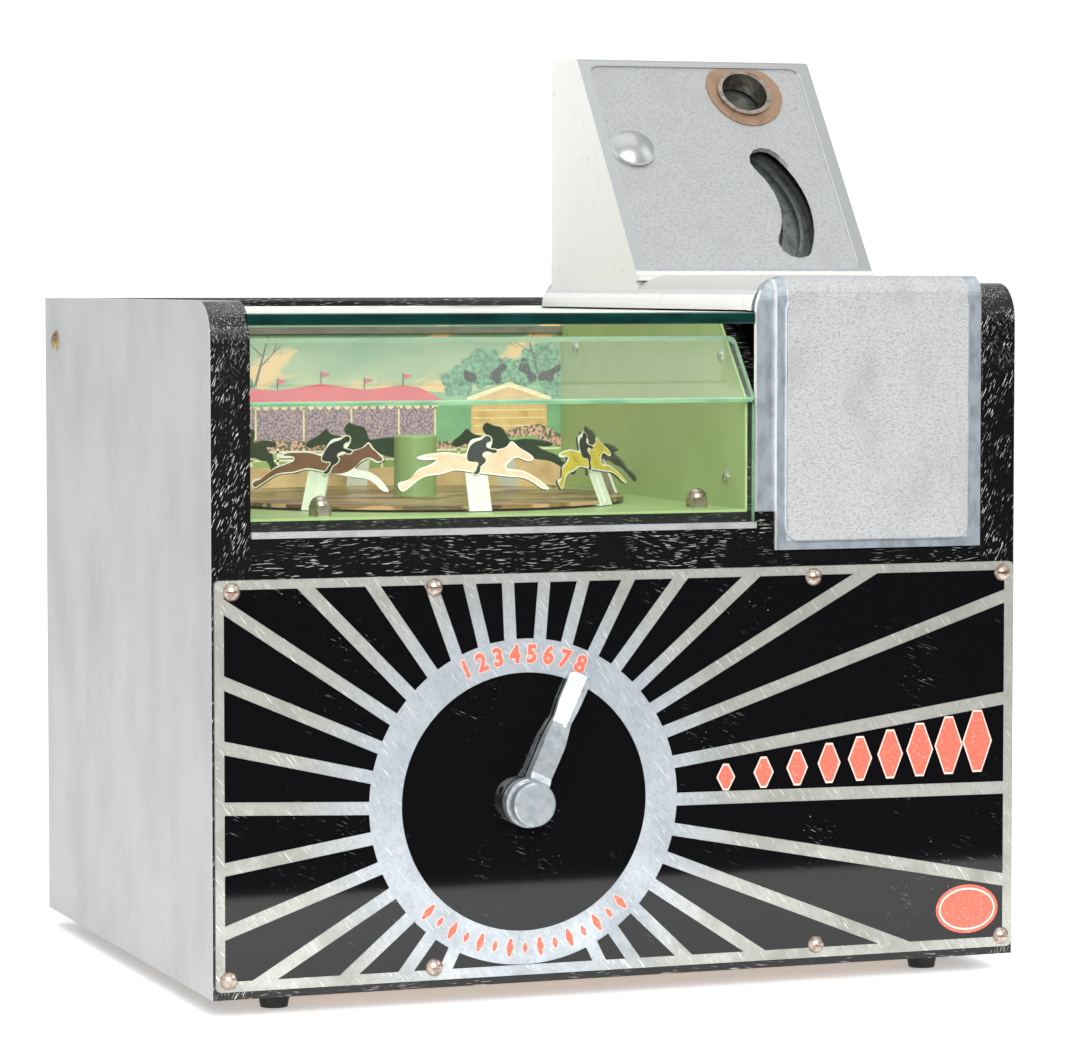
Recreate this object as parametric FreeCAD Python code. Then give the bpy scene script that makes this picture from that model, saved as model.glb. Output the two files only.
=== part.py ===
import FreeCAD, Part
import math
import os

os.makedirs("parts", exist_ok=True)

V = FreeCAD.Vector

# Cabinet, measured from its own left front bottom corner
width = 343.0
depth = 264.0
height = 270.3
coin_side_height = 277.0
board = 16.0
board_round = 15.0
foot_height = 7.0
foot_dia = 14.0

# Front plate and its dial
plate_t = 1.5
plate_low = 3.3
plate_high = 162.8
dial_x = 128.0
dial_z = 72.3
screw_dia = 7.2

# Window compartment
sill_z = 180.0
floor_z = 186.0
liner_t = 1.0
wall_x = 224.6
backdrop_y = 217.0
bend_z = 229.2
glass_t = 3.0
top_glass_t = 4.6
top_glass_z = 260.8
top_glass_right = 227.6
groove_deep = 1.0
shoulder_r = 3.0
strip_rise = 1.1
strip_drop = 1.4

# Coin head casting
cast_t = 3.4
apron_left = 228.0
panel_left = 236.0
apron_right = 326.8
apron_low = 169.6
roll = 8.0
flange_z = 280.0
skirt_r = 14.0
skirt_low = 266.2
head_left = 230.5
head_right = 342.5
slope_y = 139.0
slope_z = 281.8
crown_y = 211.0
crown_z = 376.7
head_back = 243.5

# Coin entry, coin window and cast boss, measured on the sloped face
bush_x = 306.5
bush_s = 100.5
bush_bore = 21.2
bush_rim = 24.6
arc_x = 274.0
arc_s = 37.5
arc_r = 42.0
arc_half = 8.0
boss_x = 245.8
boss_s = 69.0

# Carousel
car_x = 120.0
car_y = 110.0
disc_r = 87.0
disc_z = 187.0
disc_t = 1.5
horses = 8
first_horse = -91.5
strip_w = 9.3
strip_lean = 22.0
strip_len = 17.5
horse_slip = {2: -6.0, 8: 4.5}

# Works under the window floor
shaft_dia = 8.0
run_gap = 0.05
deck_z = 150.0
kick_y = 72.0
mitre_r = 14.0
mitre_teeth = 20
ratchet_r = 20.0
ratchet_teeth = 24
lever_x = 215.0
lever_z = 96.0
weight_len = 21.0

stud_xy = [(50.0, 19.0), (212.5, 26.0), (50.0, 200.0), (212.5, 200.0)]

# Selector handle
knob_dia = 17.4
hub_dia = 19.6
knob_face = -13.8
hub_face = -7.8
knob_back = -2.3
arm_half = 4.6
arm_len = 55.0
rest_angle = 24.6
pick_step = 7.0

# Back door
door_t = 10.0
door_y = 252.6
door_low = 13.0
door_high = 239.2
hinge_x = 16.4
hinge_y = 267.0

# Frame origin: middle of the outline, level with the soles of the feet
back_most = hinge_y + 3.0
shift = V(-width / 2, -(knob_face + back_most) / 2, foot_height)

nodes = {}


def block(x0, x1, y0, y1, z0, z1):
    return Part.makeBox(x1 - x0, y1 - y0, z1 - z0, V(x0, y0, z0))


def rod(base, axis, radius, length):
    return Part.makeCylinder(radius, length, V(*base), V(*axis))


def face_of(points):
    pts = [V(*p) for p in points]
    return Part.Face(Part.makePolygon(pts + [pts[0]]))


def side_profile(points, x0, x1):
    # outline given as (y, z), pushed along x
    return face_of([(x0, y, z) for y, z in points]).extrude(V(x1 - x0, 0, 0))


def front_profile(points, y0, y1):
    # outline given as (x, z), pushed along y
    return face_of([(x, y0, z) for x, z in points]).extrude(V(0, y1 - y0, 0))


def plan_profile(points, z0, z1):
    # outline given as (x, y), pushed along z
    return face_of([(x, y, z0) for x, y in points]).extrude(V(0, 0, z1 - z0))


def fan(cx, cy, r, a0, a1, n=8):
    out = []
    for i in range(n + 1):
        a = math.radians(a0 + (a1 - a0) * i / n)
        out.append((cx + r * math.cos(a), cy + r * math.sin(a)))
    return out


def rounded(x0, x1, z0, z1, r, n=5):
    return (fan(x0 + r, z0 + r, r, 180, 270, n) + fan(x1 - r, z0 + r, r, 270, 360, n)
            + fan(x1 - r, z1 - r, r, 0, 90, n) + fan(x0 + r, z1 - r, r, 90, 180, n))


def soft(shape, size, pick):
    # small chamfer on every straight edge that pick accepts
    edges = [e for e in shape.Edges if pick(e)]
    return shape.makeChamfer(size, edges)


def along(edge, axis):
    a = edge.Vertexes[0].Point
    b = edge.Vertexes[-1].Point
    d = b.sub(a)
    return abs(getattr(d, axis)) > 0.99 * d.Length and d.Length > 1.0


def dome(radius, rise, base, axis, slot=True):
    # screw head: low dome with a straight driver slot
    ball = (radius * radius + rise * rise) / (2 * rise)
    cap = Part.makeSphere(ball, V(0, 0, rise - ball))
    cap = cap.common(Part.makeCylinder(radius, rise, V(0, 0, 0)))
    if slot:
        cap = cap.cut(Part.makeBox(2.2 * radius, 0.9, rise, V(-1.1 * radius, -0.45, rise * 0.55)))
    cap.Placement = FreeCAD.Placement(V(*base), FreeCAD.Rotation(V(0, 0, 1), V(*axis)))
    return cap


def group(shapes):
    return Part.makeCompound(shapes)


def keep(name, shape):
    nodes[name] = shape


# Side boards: rounded front top corner, left one grooved for the top glass, right one taller under the casting
def board_outline(top):
    return [(0, 0), (depth, 0), (depth, top)] + fan(board_round, top - board_round, board_round, 90, 180, 10)


left = side_profile(board_outline(height), 0, board)
groove = block(board - groove_deep, board + 1, -1, depth - 14.5, top_glass_z - 0.2,
               top_glass_z + top_glass_t + 0.2)
left = left.cut(groove)
right = side_profile(board_outline(coin_side_height), width - board, width)
keep("side_board_left", left)
keep("side_board_right", right)

# Front board: stepped down where the apron of the casting hangs
front = front_profile([(board, 0), (width - board, 0), (width - board, apron_low - 0.6),
                       (panel_left - 0.4, apron_low - 0.6), (panel_left - 0.4, sill_z + 4.8),
                       (apron_left - 0.3, sill_z + 4.8), (apron_left - 0.3, sill_z),
                       (board, sill_z)], 0, 12)
front = front.cut(rod((dial_x, -1, dial_z), (0, 1, 0), 6.0, 14))
keep("front_board", front)

bottom = block(board, width - board, 12, depth - 1.5, 1.5, 11.5)
keep("bottom_board", bottom)

rear_rail = block(board, width - board, depth - 14, depth, 240, height)
rear_rail = soft(rear_rail, 1.5, lambda e: along(e, "x") and e.Vertexes[0].Point.z > height - 1)
keep("rear_top_rail", rear_rail)

# Battens: window ledge, floor cleat and the cross bar behind the window
ledge = block(board, wall_x + 1.0, 5.4, 12, sill_z, floor_z - liner_t)
cleat = block(board, board + 10, 12, backdrop_y - 12, floor_z - 13, floor_z - liner_t)
cross = block(board, width - board, backdrop_y - 12, backdrop_y, floor_z - 17, floor_z - liner_t)
keep("inner_battens", group([ledge, cleat, cross]))

# Partition between window and coin side, cut back along the slanted glass
slant = math.radians(49.2)
pane_low = V(0, 1.3, bend_z + 2.1)
back_low = pane_low.z - glass_t * math.cos(slant) - glass_t * math.sin(slant) * math.tan(slant)


def behind_pane(y, gap):
    # height of the slanted pane's back at a given depth, less a gap
    return back_low + (y - pane_low.y) * math.tan(slant) - gap


top_y = 4.8 + (top_glass_z - behind_pane(4.8, 0.3)) / math.tan(slant)
wall = [(4.8, floor_z), (backdrop_y, floor_z), (backdrop_y, top_glass_z),
        (top_y, top_glass_z), (4.8, behind_pane(4.8, 0.3))]
partition = side_profile(wall, wall_x + liner_t + 0.3, wall_x + liner_t + 8.3)
keep("partition_board", partition)

# Front plate with its screw and shaft holes
plate_screws = [(7.9, 158.4), (90.3, 158.2), (252.3, 158.4), (337.0, 158.3),
                (6.2, 7.8), (90.0, 8.4), (254.0, 8.6), (337.4, 7.8)]
plate = front_profile(rounded(1.0, width - 1.0, plate_low, plate_high, 2.0, 3), -plate_t, 0)
plate = plate.cut(rod((dial_x, -plate_t - 1, dial_z), (0, 1, 0), 6.0, plate_t + 2))
keep("front_plate", plate)
keep("plate_screws", group([dome(screw_dia / 2, 2.4, (x, -plate_t, z), (0, -1, 0))
                            for x, z in plate_screws]))

# Side screws that hold the rear rail
side_heads = []
for z in (251.7,):
    side_heads.append(dome(4.6, 2.2, (0, depth - 19.5, z), (-1, 0, 0)))
    side_heads.append(dome(4.6, 2.2, (width, depth - 19.5, z), (1, 0, 0)))
keep("side_screws", group(side_heads))

# Rubber feet
feet = []
for x in (31.0, width - 31.0):
    for y in (21.0, depth - 21.0):
        foot = Part.makeCone(foot_dia / 2 - 1.6, foot_dia / 2, foot_height + 1.5, V(x, y, -foot_height))
        feet.append(foot.cut(rod((x, y, -foot_height - 1), (0, 0, 1), 2.2, 3.0)))
keep("rubber_feet", group(feet))

# Sheet metal liner: floor, two side walls cut to the slanted glass, back wall
back_y = backdrop_y + liner_t
lin_l = board + 0.2
lin_r = wall_x + liner_t
side = [(4.5, floor_z - liner_t), (back_y, floor_z - liner_t), (back_y, top_glass_z - 0.4),
        (top_y - 0.3, top_glass_z - 0.4), (4.5, behind_pane(4.5, 0.2))]
liner = side_profile(side, lin_l, lin_r)
liner = liner.cut(block(lin_l + liner_t, wall_x, -1, backdrop_y, floor_z, height))
liner = liner.cut(rod((car_x, car_y, floor_z - 2), (0, 0, 1), 8.0, 4))
wall_screws = [(196.4, 248.0), (29.5, 247.6), (23.6, 197.9), (196.4, 198.5)]
keep("liner_tray", liner)
keep("liner_screws", group([dome(3.2, 1.7, (wall_x, y, z), (-1, 0, 0)) for y, z in wall_screws]))

keep("backdrop_card", block(lin_l + liner_t, wall_x, backdrop_y - 0.8, backdrop_y, floor_z, 259.6))
keep("backdrop_rod", block(lin_l + liner_t, wall_x, backdrop_y - 3.4, backdrop_y - 0.8, 254.6, 257.6))

# Studs that carry the deck: acorn nuts on the window floor in front, low round heads at the back
studs = []
for x, y in stud_xy:
    hexa = plan_profile(fan(x, y, 4.7, 0, 300, 5), floor_z, floor_z + 4.2)
    cap = Part.makeSphere(4.05, V(x, y, floor_z + 3.9))
    cap = cap.common(rod((x, y, floor_z + 3.6), (0, 0, 1), 4.05, 5))
    if y > car_y:
        hexa = rod((x, y, floor_z), (0, 0, 1), 4.0, 0.6)
        cap = Part.makeCone(4.0, 3.2, 0.4, V(x, y, floor_z + 0.6))
    bar = rod((x, y, deck_z - 6), (0, 0, 1), 2.4, floor_z - liner_t - deck_z + 6)
    nut = plan_profile(fan(x, y, 4.4, 0, 300, 5), deck_z - 3.5, deck_z)
    studs.append(hexa.fuse(cap))
    studs.append(bar.fuse(nut))
keep("floor_studs", group(studs))

# Window glass: upright pane, slanted pane with rounded shoulders, top pane
pane_right = apron_left - 0.6
pane = front_profile([(board + 0.3, sill_z), (pane_right, sill_z), (pane_right, bend_z),
                      (board + 0.3, bend_z)], 1.2, 1.2 + glass_t)
keep("front_glass", pane)
run = (255.6 - pane_low.z) / math.sin(slant)
shape = [(board + 0.4, 0), (pane_right, 0)]
shape += fan(pane_right - shoulder_r, run - shoulder_r, shoulder_r, 0, 90, 5)
shape += fan(board + 0.4 + shoulder_r, run - shoulder_r, shoulder_r, 90, 180, 5)
pane = front_profile(shape, 0, glass_t)
pane.Placement = FreeCAD.Placement(pane_low, FreeCAD.Rotation(V(1, 0, 0), math.degrees(slant) - 90))
keep("slanted_glass", pane)
pane = block(board - groove_deep + 0.4, top_glass_right, 1.8, depth - 14.6, top_glass_z, top_glass_z + top_glass_t)
pane = soft(pane, 0.5, lambda e: along(e, "x") and e.Vertexes[0].Point.y < 3)
keep("top_glass", pane)
strip = side_profile([(-0.7, sill_z - strip_drop), (0.0, sill_z - strip_drop), (0.0, sill_z), (1.1, sill_z),
                      (1.1, sill_z + strip_rise), (-0.7, sill_z + strip_rise)], board + 0.2, apron_left - 0.4)
keep("sill_strip", strip)

# Coin head casting, side outline as one skin: apron, roll, flange, sloped face, crown, back
out_y = -1.5
back_edge = depth - 14.3
flange_low = coin_side_height
skin = [(0.5, apron_low), (out_y, apron_low)]
skin += [(p[0], p[1]) for p in fan(out_y + roll, flange_z - roll, roll, 180, 90, 8)]
skin += [(slope_y - 4, flange_z), (slope_y - 1, flange_z + 0.6), (slope_y, slope_z - 4)]
inner = [(slope_y + 3, flange_low), (out_y + roll, flange_low)]
inner += fan(out_y + roll, flange_z - roll, roll - cast_t, 90, 180, 8)
inner += [(out_y + cast_t, apron_low)]
body = side_profile(skin[1:-1] + inner, panel_left, apron_right)

# lower strip on the left of the apron
strip = [(0.6, 185.2)] + fan(0.6 + roll, flange_z - 1.6 - roll, roll, 180, 90, 8)
strip += [(0.6 + 2 * roll, flange_z - 1.6), (0.6 + 2 * roll, flange_z - 4.4), (0.6 + roll, flange_z - 4.4)]
strip += fan(0.6 + roll, flange_z - 1.6 - roll, roll - 2.8, 90, 180, 8) + [(3.4, 185.2)]
body = body.fuse(side_profile(strip, apron_left, panel_left + 1))

# flange that spreads over the right hand board, its back edge turned down in front of the rear rail
spread = plan_profile(rounded(panel_left, head_right + 0.4, 44, back_edge, 7), flange_low + 0.05, flange_z - 0.4)
turned_down = block(panel_left, width - board - 0.3, back_edge - cast_t, back_edge, skirt_low, flange_z - 1)
body = body.fuse([spread, turned_down])

# skirt that curves down to the edge of the top glass, and the corner of the apron rounded to match
skirt = fan(apron_left + skirt_r, flange_z - skirt_r, skirt_r, 180, 90, 10)
inner = fan(apron_left + skirt_r, flange_z - skirt_r, skirt_r - cast_t, 90, 180, 8)
corner = front_profile([(apron_left + skirt_r, flange_z + 4), (apron_left - 2, flange_z + 4),
                        (apron_left - 2, flange_z - skirt_r)] + skirt, -6, back_edge + 1)
body = body.cut(corner)
body = body.fuse(front_profile(skirt + inner, out_y + roll, back_edge))
body = body.cut(block(apron_left - 1, panel_left + 4, out_y + roll + 4, back_edge + 1, flange_z - skirt_r - 1, skirt_low))
foot = block(head_left, head_left + cast_t, slope_y, head_back, skirt_low + 4, flange_low + 2)
body = body.fuse(foot)

# hollow head: the sloped face is the coin face
head = [(head_back, flange_low + 1), (head_back, crown_z - 4)] + fan(head_back - 4, crown_z - 4, 4, 0, 90, 4)
slope = math.atan2(crown_z - slope_z, crown_y - slope_y)
deg = math.degrees(slope)
head += fan(crown_y + 2.0, crown_z - 4, 4, 90, 90 + deg - 0.01, 4)
head += [(slope_y, slope_z), (slope_y - 1.2, slope_z - 1.2), (slope_y - 4, flange_z - 0.6),
         (slope_y - 4, flange_low + 1)]
body = body.fuse(side_profile(head, head_left, head_right))
hollow = [(head_back - cast_t, flange_low - 3), (head_back - cast_t, crown_z - cast_t),
          (slope_y + 4.4 + (crown_z - cast_t - slope_z) / math.tan(slope), crown_z - cast_t),
          (slope_y + 4.4, slope_z), (slope_y + 4.4, flange_low - 3)]
body = body.cut(side_profile(hollow, head_left + cast_t, head_right - cast_t))

# raised panel of the apron, and the recess between the rims of the sloped face
panel = front_profile(rounded(panel_left + 3.8, apron_right - 5.6, apron_low + 3.4, flange_z - roll, 6),
                      out_y - 1.0, out_y + 0.5)
body = body.fuse(panel)
face_place = FreeCAD.Placement(V(0, slope_y, slope_z), FreeCAD.Rotation(V(1, 0, 0), deg))


def on_face(shape):
    # shape drawn as x, along the slope, out of the face
    shape.Placement = face_place
    return shape


face_len = math.hypot(crown_y - slope_y, crown_z - slope_z)
recess = on_face(plan_profile(rounded(head_left + 4.6, head_right - 5.4, 1.4, face_len - 3.6, 5), -0.8, 3))
body = body.cut(recess)
arc_hi = 36.0
arc_lo = -30.0
top_in = fan(arc_x + arc_r * math.cos(math.radians(arc_hi)),
             arc_s + arc_r * math.sin(math.radians(arc_hi)), arc_half, arc_hi, arc_hi + 180, 6)
low_in = fan(arc_x + arc_r * math.cos(math.radians(arc_lo)),
             arc_s + arc_r * math.sin(math.radians(arc_lo)), arc_half + 0.3, arc_lo + 180, arc_lo + 360, 6)
slot = fan(arc_x, arc_s, arc_r + arc_half, arc_lo + 2, arc_hi - 2, 9) + top_in[:]
slot += fan(arc_x, arc_s, arc_r - arc_half, arc_hi - 2, arc_lo + 2, 9) + low_in[:]
window = on_face(plan_profile(slot, -12, 4))
body = body.cut(window)
bush_hole = on_face(rod((bush_x, bush_s, -20), (0, 0, 1), bush_rim / 2 - 0.6, 24))
body = body.cut(bush_hole)
boss_ball = Part.makeSphere(16.0, V(boss_x, boss_s, 3.4 - 16.0))
boss = boss_ball.common(rod((boss_x, boss_s, -1.2), (0, 0, 1), 10.4, 6))
ring = rod((boss_x, boss_s, -1.2), (0, 0, 1), 10.4, 1.6)
boss = on_face(boss.fuse(ring))
body = body.fuse(boss)
keep("coin_head_casting", body.removeSplitter())

# Coin bush, its copper washer, and the track seen through the curved window
bush = rod((bush_x, bush_s, -9.6), (0, 0, 1), bush_rim / 2 - 0.62, 10)
bush = bush.fuse(rod((bush_x, bush_s, -0.15), (0, 0, 1), bush_rim / 2 + 0.3, 1.5))
bush = bush.cut(rod((bush_x, bush_s, -16), (0, 0, 1), bush_bore / 2, 20))
keep("coin_bush", on_face(bush))
ragged = []
for i in range(24):
    a = math.radians(15 * i)
    r = 18.4 + 0.5 * math.sin(3 * a + 0.6) - 1.6 * max(0.0, math.cos(a - math.radians(222)))
    ragged.append((bush_x + r * math.cos(a), min(bush_s - 0.3 + r * math.sin(a), face_len - 4.2)))
washer = plan_profile(ragged, -0.8, -0.15)
washer = washer.cut(rod((bush_x, bush_s, -2), (0, 0, 1), bush_rim / 2 - 0.5, 4))
keep("bush_washer", on_face(washer))
track = plan_profile(rounded(285, 334, 5.5, 116, 6), -13.4, -11.4)
for r in (33.0, 38.0, 46.0, 51.0):
    rib = rod((arc_x, arc_s, -11.6), (0, 0, 1), r + 0.8, 3.0)
    rib = rib.cut(rod((arc_x, arc_s, -12), (0, 0, 1), r - 0.8, 4))
    track = track.fuse(rib.common(block(288, 332, 5, 82, -12, -8)))
for x, s in ((289.0, 110.0), (330.0, 110.0), (289.0, 8.0), (330.0, 8.0)):
    track = track.fuse(rod((x, s, -12), (0, 0, 1), 2.4, 8.4))
keep("coin_track", on_face(track))

# Coin chute from the head down to the trip lever, with its strap
top = V(308, 153, 269)
low = V(308, 46, 112)
way = low.sub(top)
chute = block(-13, 13, -4.5, 4.5, 0, way.Length).cut(block(-11.6, 11.6, -3.1, 3.1, -1, way.Length + 1))
chute = chute.cut(block(-9.0, 9.0, 0, 9, -1, way.Length + 1))
strap = block(-74.0, -12.0, -4.5, -3.1, 84, 96)
chute = chute.fuse(strap).fuse(block(-74.0, -72.6, -4.5, 8, 84, 96))
chute.Placement = FreeCAD.Placement(top, FreeCAD.Rotation(V(1, 0, 0), 180 - math.degrees(math.atan2(107, 157))))
keep("coin_chute", chute)

# Cash box under the lever
box = block(240, 322, 34, 236, 11.6, 68)
keep("cash_box", box.cut(block(241.4, 320.6, 35.4, 234.6, 13, 70)))

# Deck and bracket
deck = plan_profile(rounded(40, 222, 12.4, 212, 8), deck_z, deck_z + 2)
deck = deck.cut(rod((dial_x, kick_y, deck_z - 1), (0, 0, 1), shaft_dia / 2 + run_gap, 4))
deck = deck.cut(rod((car_x, car_y, deck_z - 1), (0, 0, 1), 7.0, 4))
for x, y in stud_xy:
    deck = deck.cut(rod((x, y, deck_z - 1), (0, 0, 1), 2.4, 4))
keep("works_deck", deck)
bracket = block(dial_x - 16, dial_x + 16, 34, 60, deck_z - 3, deck_z)
bracket = bracket.fuse(block(dial_x - 16, dial_x + 16, 34, 37, 56, deck_z))
bracket = bracket.fuse(plan_profile([(dial_x - 16, 34), (dial_x + 16, 34), (dial_x + 12, 84),
                                     (dial_x - 12, 84)], 93, 96))
bracket = bracket.cut(rod((dial_x, 30, dial_z), (0, 1, 0), shaft_dia / 2 + run_gap, 10))
bracket = bracket.cut(rod((dial_x, kick_y, 90), (0, 0, 1), shaft_dia / 2 + run_gap, 8))
keep("gear_bracket", bracket)
bearing = rod((car_x, car_y, deck_z - 1.0), (0, 0, 1), 7.0, floor_z - deck_z - 1.0)
bearing = bearing.fuse(rod((car_x, car_y, deck_z + 2), (0, 0, 1), 11.0, 2.5))
bearing = bearing.cut(rod((car_x, car_y, deck_z - 3), (0, 0, 1), shaft_dia / 2 + run_gap, 60))
keep("carousel_bearing", bearing)
sleeve = rod((dial_x, -plate_t, dial_z), (0, 1, 0), 6.0, 13.8)
sleeve = sleeve.cut(rod((dial_x, -3, dial_z), (0, 1, 0), shaft_dia / 2 + run_gap, 20))
keep("shaft_sleeve", sleeve)

# Selector: handle with waisted arm, drawn upright and then turned to the picked number
knob = rod((0, knob_back, 0), (0, -1, 0), knob_dia / 2, knob_back - knob_face)
knob = knob.makeChamfer(0.8, [e for e in knob.Edges if abs(e.CenterOfMass.y - knob_face) < 0.01
                              and len(e.Vertexes) == 1])
hub = rod((0, knob_back, 0), (0, -1, 0), hub_dia / 2, knob_back - hub_face)
hub = hub.makeChamfer(0.6, [e for e in hub.Edges if abs(e.CenterOfMass.y - hub_face) < 0.01
                            and len(e.Vertexes) == 1])
# thick lower half of the arm, sloping back where the fingers slide off it
root = [(3, -8.8), (9.4, -8.8), (12.0, -7.3), (24.0, -7.3), (33.8, -5.6), (33.8, -2.4), (3, -2.4)]
root = face_of([(-6, y, r) for r, y in root]).extrude(V(12, 0, 0))
# thin upper half with a ridge towards its right edge
tip = [(-6, -2.4), (-6, -4.0), (2.0, -6.0), (6, -5.0), (6, -2.4)]
tip = face_of([(x, y, 33.0) for x, y in tip]).extrude(V(0, 0, arm_len - 33.0))
edge = [(arm_half - 0.2, 0), (arm_half, 27.0), (arm_half - 0.9, 35.5), (arm_half - 0.1, 42.5),
        (arm_half, arm_len - 3.0)] + fan(arm_half - 2.0, arm_len - 2.0, 2.0, 0, 90, 4)
edge += [(-x, r) for x, r in reversed(edge)]
taper = face_of([(x, -20, r) for x, r in edge]).extrude(V(0, 20, 0))
arm = root.fuse(tip).common(taper)
handle = knob.fuse([hub, arm])
handle = handle.cut(rod((0, 3, 0), (0, -1, 0), shaft_dia / 2, 13))
screw_dir = V(-math.sin(math.radians(62 + rest_angle)), 0, math.cos(math.radians(62 + rest_angle)))
hole = rod((0, -5.6, 0), (screw_dir.x, 0, screw_dir.z), 1.7, 12)
handle = handle.cut(hole)


def turned(shape, angle):
    # turn about the dial axis, clockwise as seen from the front
    shape = shape.copy()
    shape.rotate(V(0, 0, 0), V(0, 1, 0), angle)
    shape.translate(V(dial_x, 0, dial_z))
    return shape


keep("pointer_handle", turned(handle, rest_angle))
grub = Part.makeCylinder(1.65, 3.6, V(0, -5.6, 0) + screw_dir * 4.2, screw_dir)
grub = grub.cut(Part.makeCylinder(0.8, 2.0, V(0, -5.6, 0) + screw_dir * 6.6, screw_dir))
keep("handle_set_screw", turned(grub, rest_angle))
keep("selector_shaft", rod((dial_x, -9.8, dial_z), (0, 1, 0), shaft_dia / 2, 68.6))

wheel = Part.makeCylinder(18.0, 3, V(0, 15.2, 0), V(0, 1, 0))
for k in range(8):
    a = math.radians(270 + k * pick_step)
    wheel = wheel.cut(Part.makeCylinder(0.8, 5, V(18 * math.cos(a), 14, 18 * math.sin(a)), V(0, 1, 0)))
lock = Part.makeCylinder(16.0, 3, V(0, 22.2, 0), V(0, 1, 0))
lock = lock.cut(block(-1.9, 1.9, 21, 27, 13, 17))
hub = Part.makeCylinder(7.0, 4.0, V(0, 18.2, 0), V(0, 1, 0))
wheels = wheel.fuse([lock, hub]).cut(Part.makeCylinder(shaft_dia / 2, 16, V(0, 13, 0), V(0, 1, 0)))
keep("selector_wheels", turned(wheels, 0))


def mitre(turn):
    # bevel gear with its apex at the origin, large end below at -mitre_r
    def ring(scale):
        pts = []
        for i in range(mitre_teeth):
            for part, rad in ((0.0, -1.5), (0.26, -1.5), (0.40, 1.1), (0.64, 1.1), (0.78, -1.5)):
                a = 2 * math.pi * (i + part + 0.48 + turn) / mitre_teeth
                r = (mitre_r + rad) * scale
                pts.append(V(r * math.cos(a), r * math.sin(a), -mitre_r * scale))
        return Part.makePolygon(pts + [pts[0]])
    cone = Part.makeLoft([ring(1.0), ring(0.62)], True, True)
    back = Part.makeCylinder(mitre_r * 0.62, 3.6, V(0, 0, -mitre_r - 3.6))
    return cone.fuse(back).cut(Part.makeCylinder(shaft_dia / 2, 30, V(0, 0, -24)))


gear = mitre(0.0)
gear.Placement = FreeCAD.Placement(V(dial_x, kick_y, dial_z), FreeCAD.Rotation(V(1, 0, 0), -90))
keep("mitre_gear_front", gear)
gear = mitre(0.5)
gear.Placement = FreeCAD.Placement(V(dial_x, kick_y, dial_z), FreeCAD.Rotation(V(1, 0, 0), 180))
keep("mitre_gear_upright", gear)
keep("kicker_shaft", rod((dial_x, kick_y, dial_z + 9.4), (0, 0, 1), shaft_dia / 2, 76))

# Kicker arm with a spring pawl, resting short of the ratchet wheel
arm_z = 139.0
aim = math.degrees(math.atan2(car_y - kick_y, car_x - dial_x)) + 30
arm = Part.makeCylinder(8.0, 8, V(0, 0, arm_z - 2)).fuse(block(0, 15.5, -3.5, 3.5, arm_z, arm_z + 4))
arm = arm.fuse(plan_profile([(11, -2), (18.1, -1.2), (18.1, 0.2), (15, 5.5), (12, 5.5)], arm_z, arm_z + 4))
arm = arm.cut(Part.makeCylinder(shaft_dia / 2, 12, V(0, 0, arm_z - 4)))
arm.rotate(V(0, 0, 0), V(0, 0, 1), aim)
arm.translate(V(dial_x, kick_y, 0))
keep("kicker_arm", arm)

# Carousel: turntable disc, axle, post cover and ratchet wheel
disc = rod((car_x, car_y, disc_z), (0, 0, 1), disc_r, disc_t)
disc = disc.fuse(rod((car_x, car_y, floor_z - 0.6), (0, 0, 1), 6.6, 2.0))
disc = disc.cut(rod((car_x, car_y, floor_z - 2), (0, 0, 1), shaft_dia / 2, 8))
keep("carousel_disc", disc)
keep("carousel_axle", rod((car_x, car_y, deck_z - 16), (0, 0, 1), shaft_dia / 2, disc_z - deck_z + 24))
post = rod((car_x, car_y, disc_z + disc_t), (0, 0, 1), 8.9, 25.2)
post = post.makeFillet(0.9, [e for e in post.Edges if abs(e.CenterOfMass.z - disc_z - disc_t - 25.2) < 0.01
                             and len(e.Vertexes) == 1])
post = post.cut(rod((car_x, car_y, disc_z + disc_t - 1), (0, 0, 1), 7.9, 25.0))
keep("carousel_post", post)
saw = []
for i in range(ratchet_teeth):
    a = 2 * math.pi * i / ratchet_teeth
    b = 2 * math.pi * (i + 0.94) / ratchet_teeth
    saw.append((ratchet_r * math.cos(a), ratchet_r * math.sin(a)))
    saw.append(((ratchet_r - 2.6) * math.cos(b), (ratchet_r - 2.6) * math.sin(b)))
saw = plan_profile(saw, arm_z, arm_z + 4).fuse(Part.makeCylinder(8, 8.6, V(0, 0, arm_z)))
saw = saw.cut(Part.makeCylinder(shaft_dia / 2, 12, V(0, 0, arm_z - 1)))
saw.translate(V(car_x, car_y, 0))
keep("ratchet_wheel", saw)

# Horse and rider cut from sheet, galloping; x forward, z up along its strip
rider = [(-33.5, 10.5), (-32.0, 8.5), (-29.0, 10.0), (-25.0, 13.0), (-22.0, 14.5), (-15.0, 15.5),
         (-9.5, 17.0), (-4.5, 16.5), (6.0, 15.0), (14.0, 14.0), (18.5, 13.5), (23.5, 11.0), (27.5, 8.5),
         (29.5, 8.5), (28.5, 10.0), (21.5, 15.5), (17.0, 17.0), (12.5, 18.0), (15.0, 21.0), (18.0, 22.0),
         (22.5, 20.5), (24.5, 21.5), (22.0, 24.5), (18.5, 27.0), (16.0, 29.0), (14.5, 27.5), (9.0, 25.5),
         (6.5, 25.0), (7.5, 27.5), (8.0, 29.5), (6.0, 32.0), (3.5, 31.0), (-0.5, 30.0), (-2.5, 27.0),
         (-3.5, 24.5), (-9.0, 24.5), (-16.5, 24.5), (-20.5, 24.0), (-24.5, 22.5), (-21.0, 21.5),
         (-16.5, 21.5), (-18.5, 20.0), (-24.5, 17.5), (-30.0, 13.0)]
curve = Part.BSplineCurve()
curve.interpolate([V(x, 0, z) for x, z in rider], PeriodicFlag=True)
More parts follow.
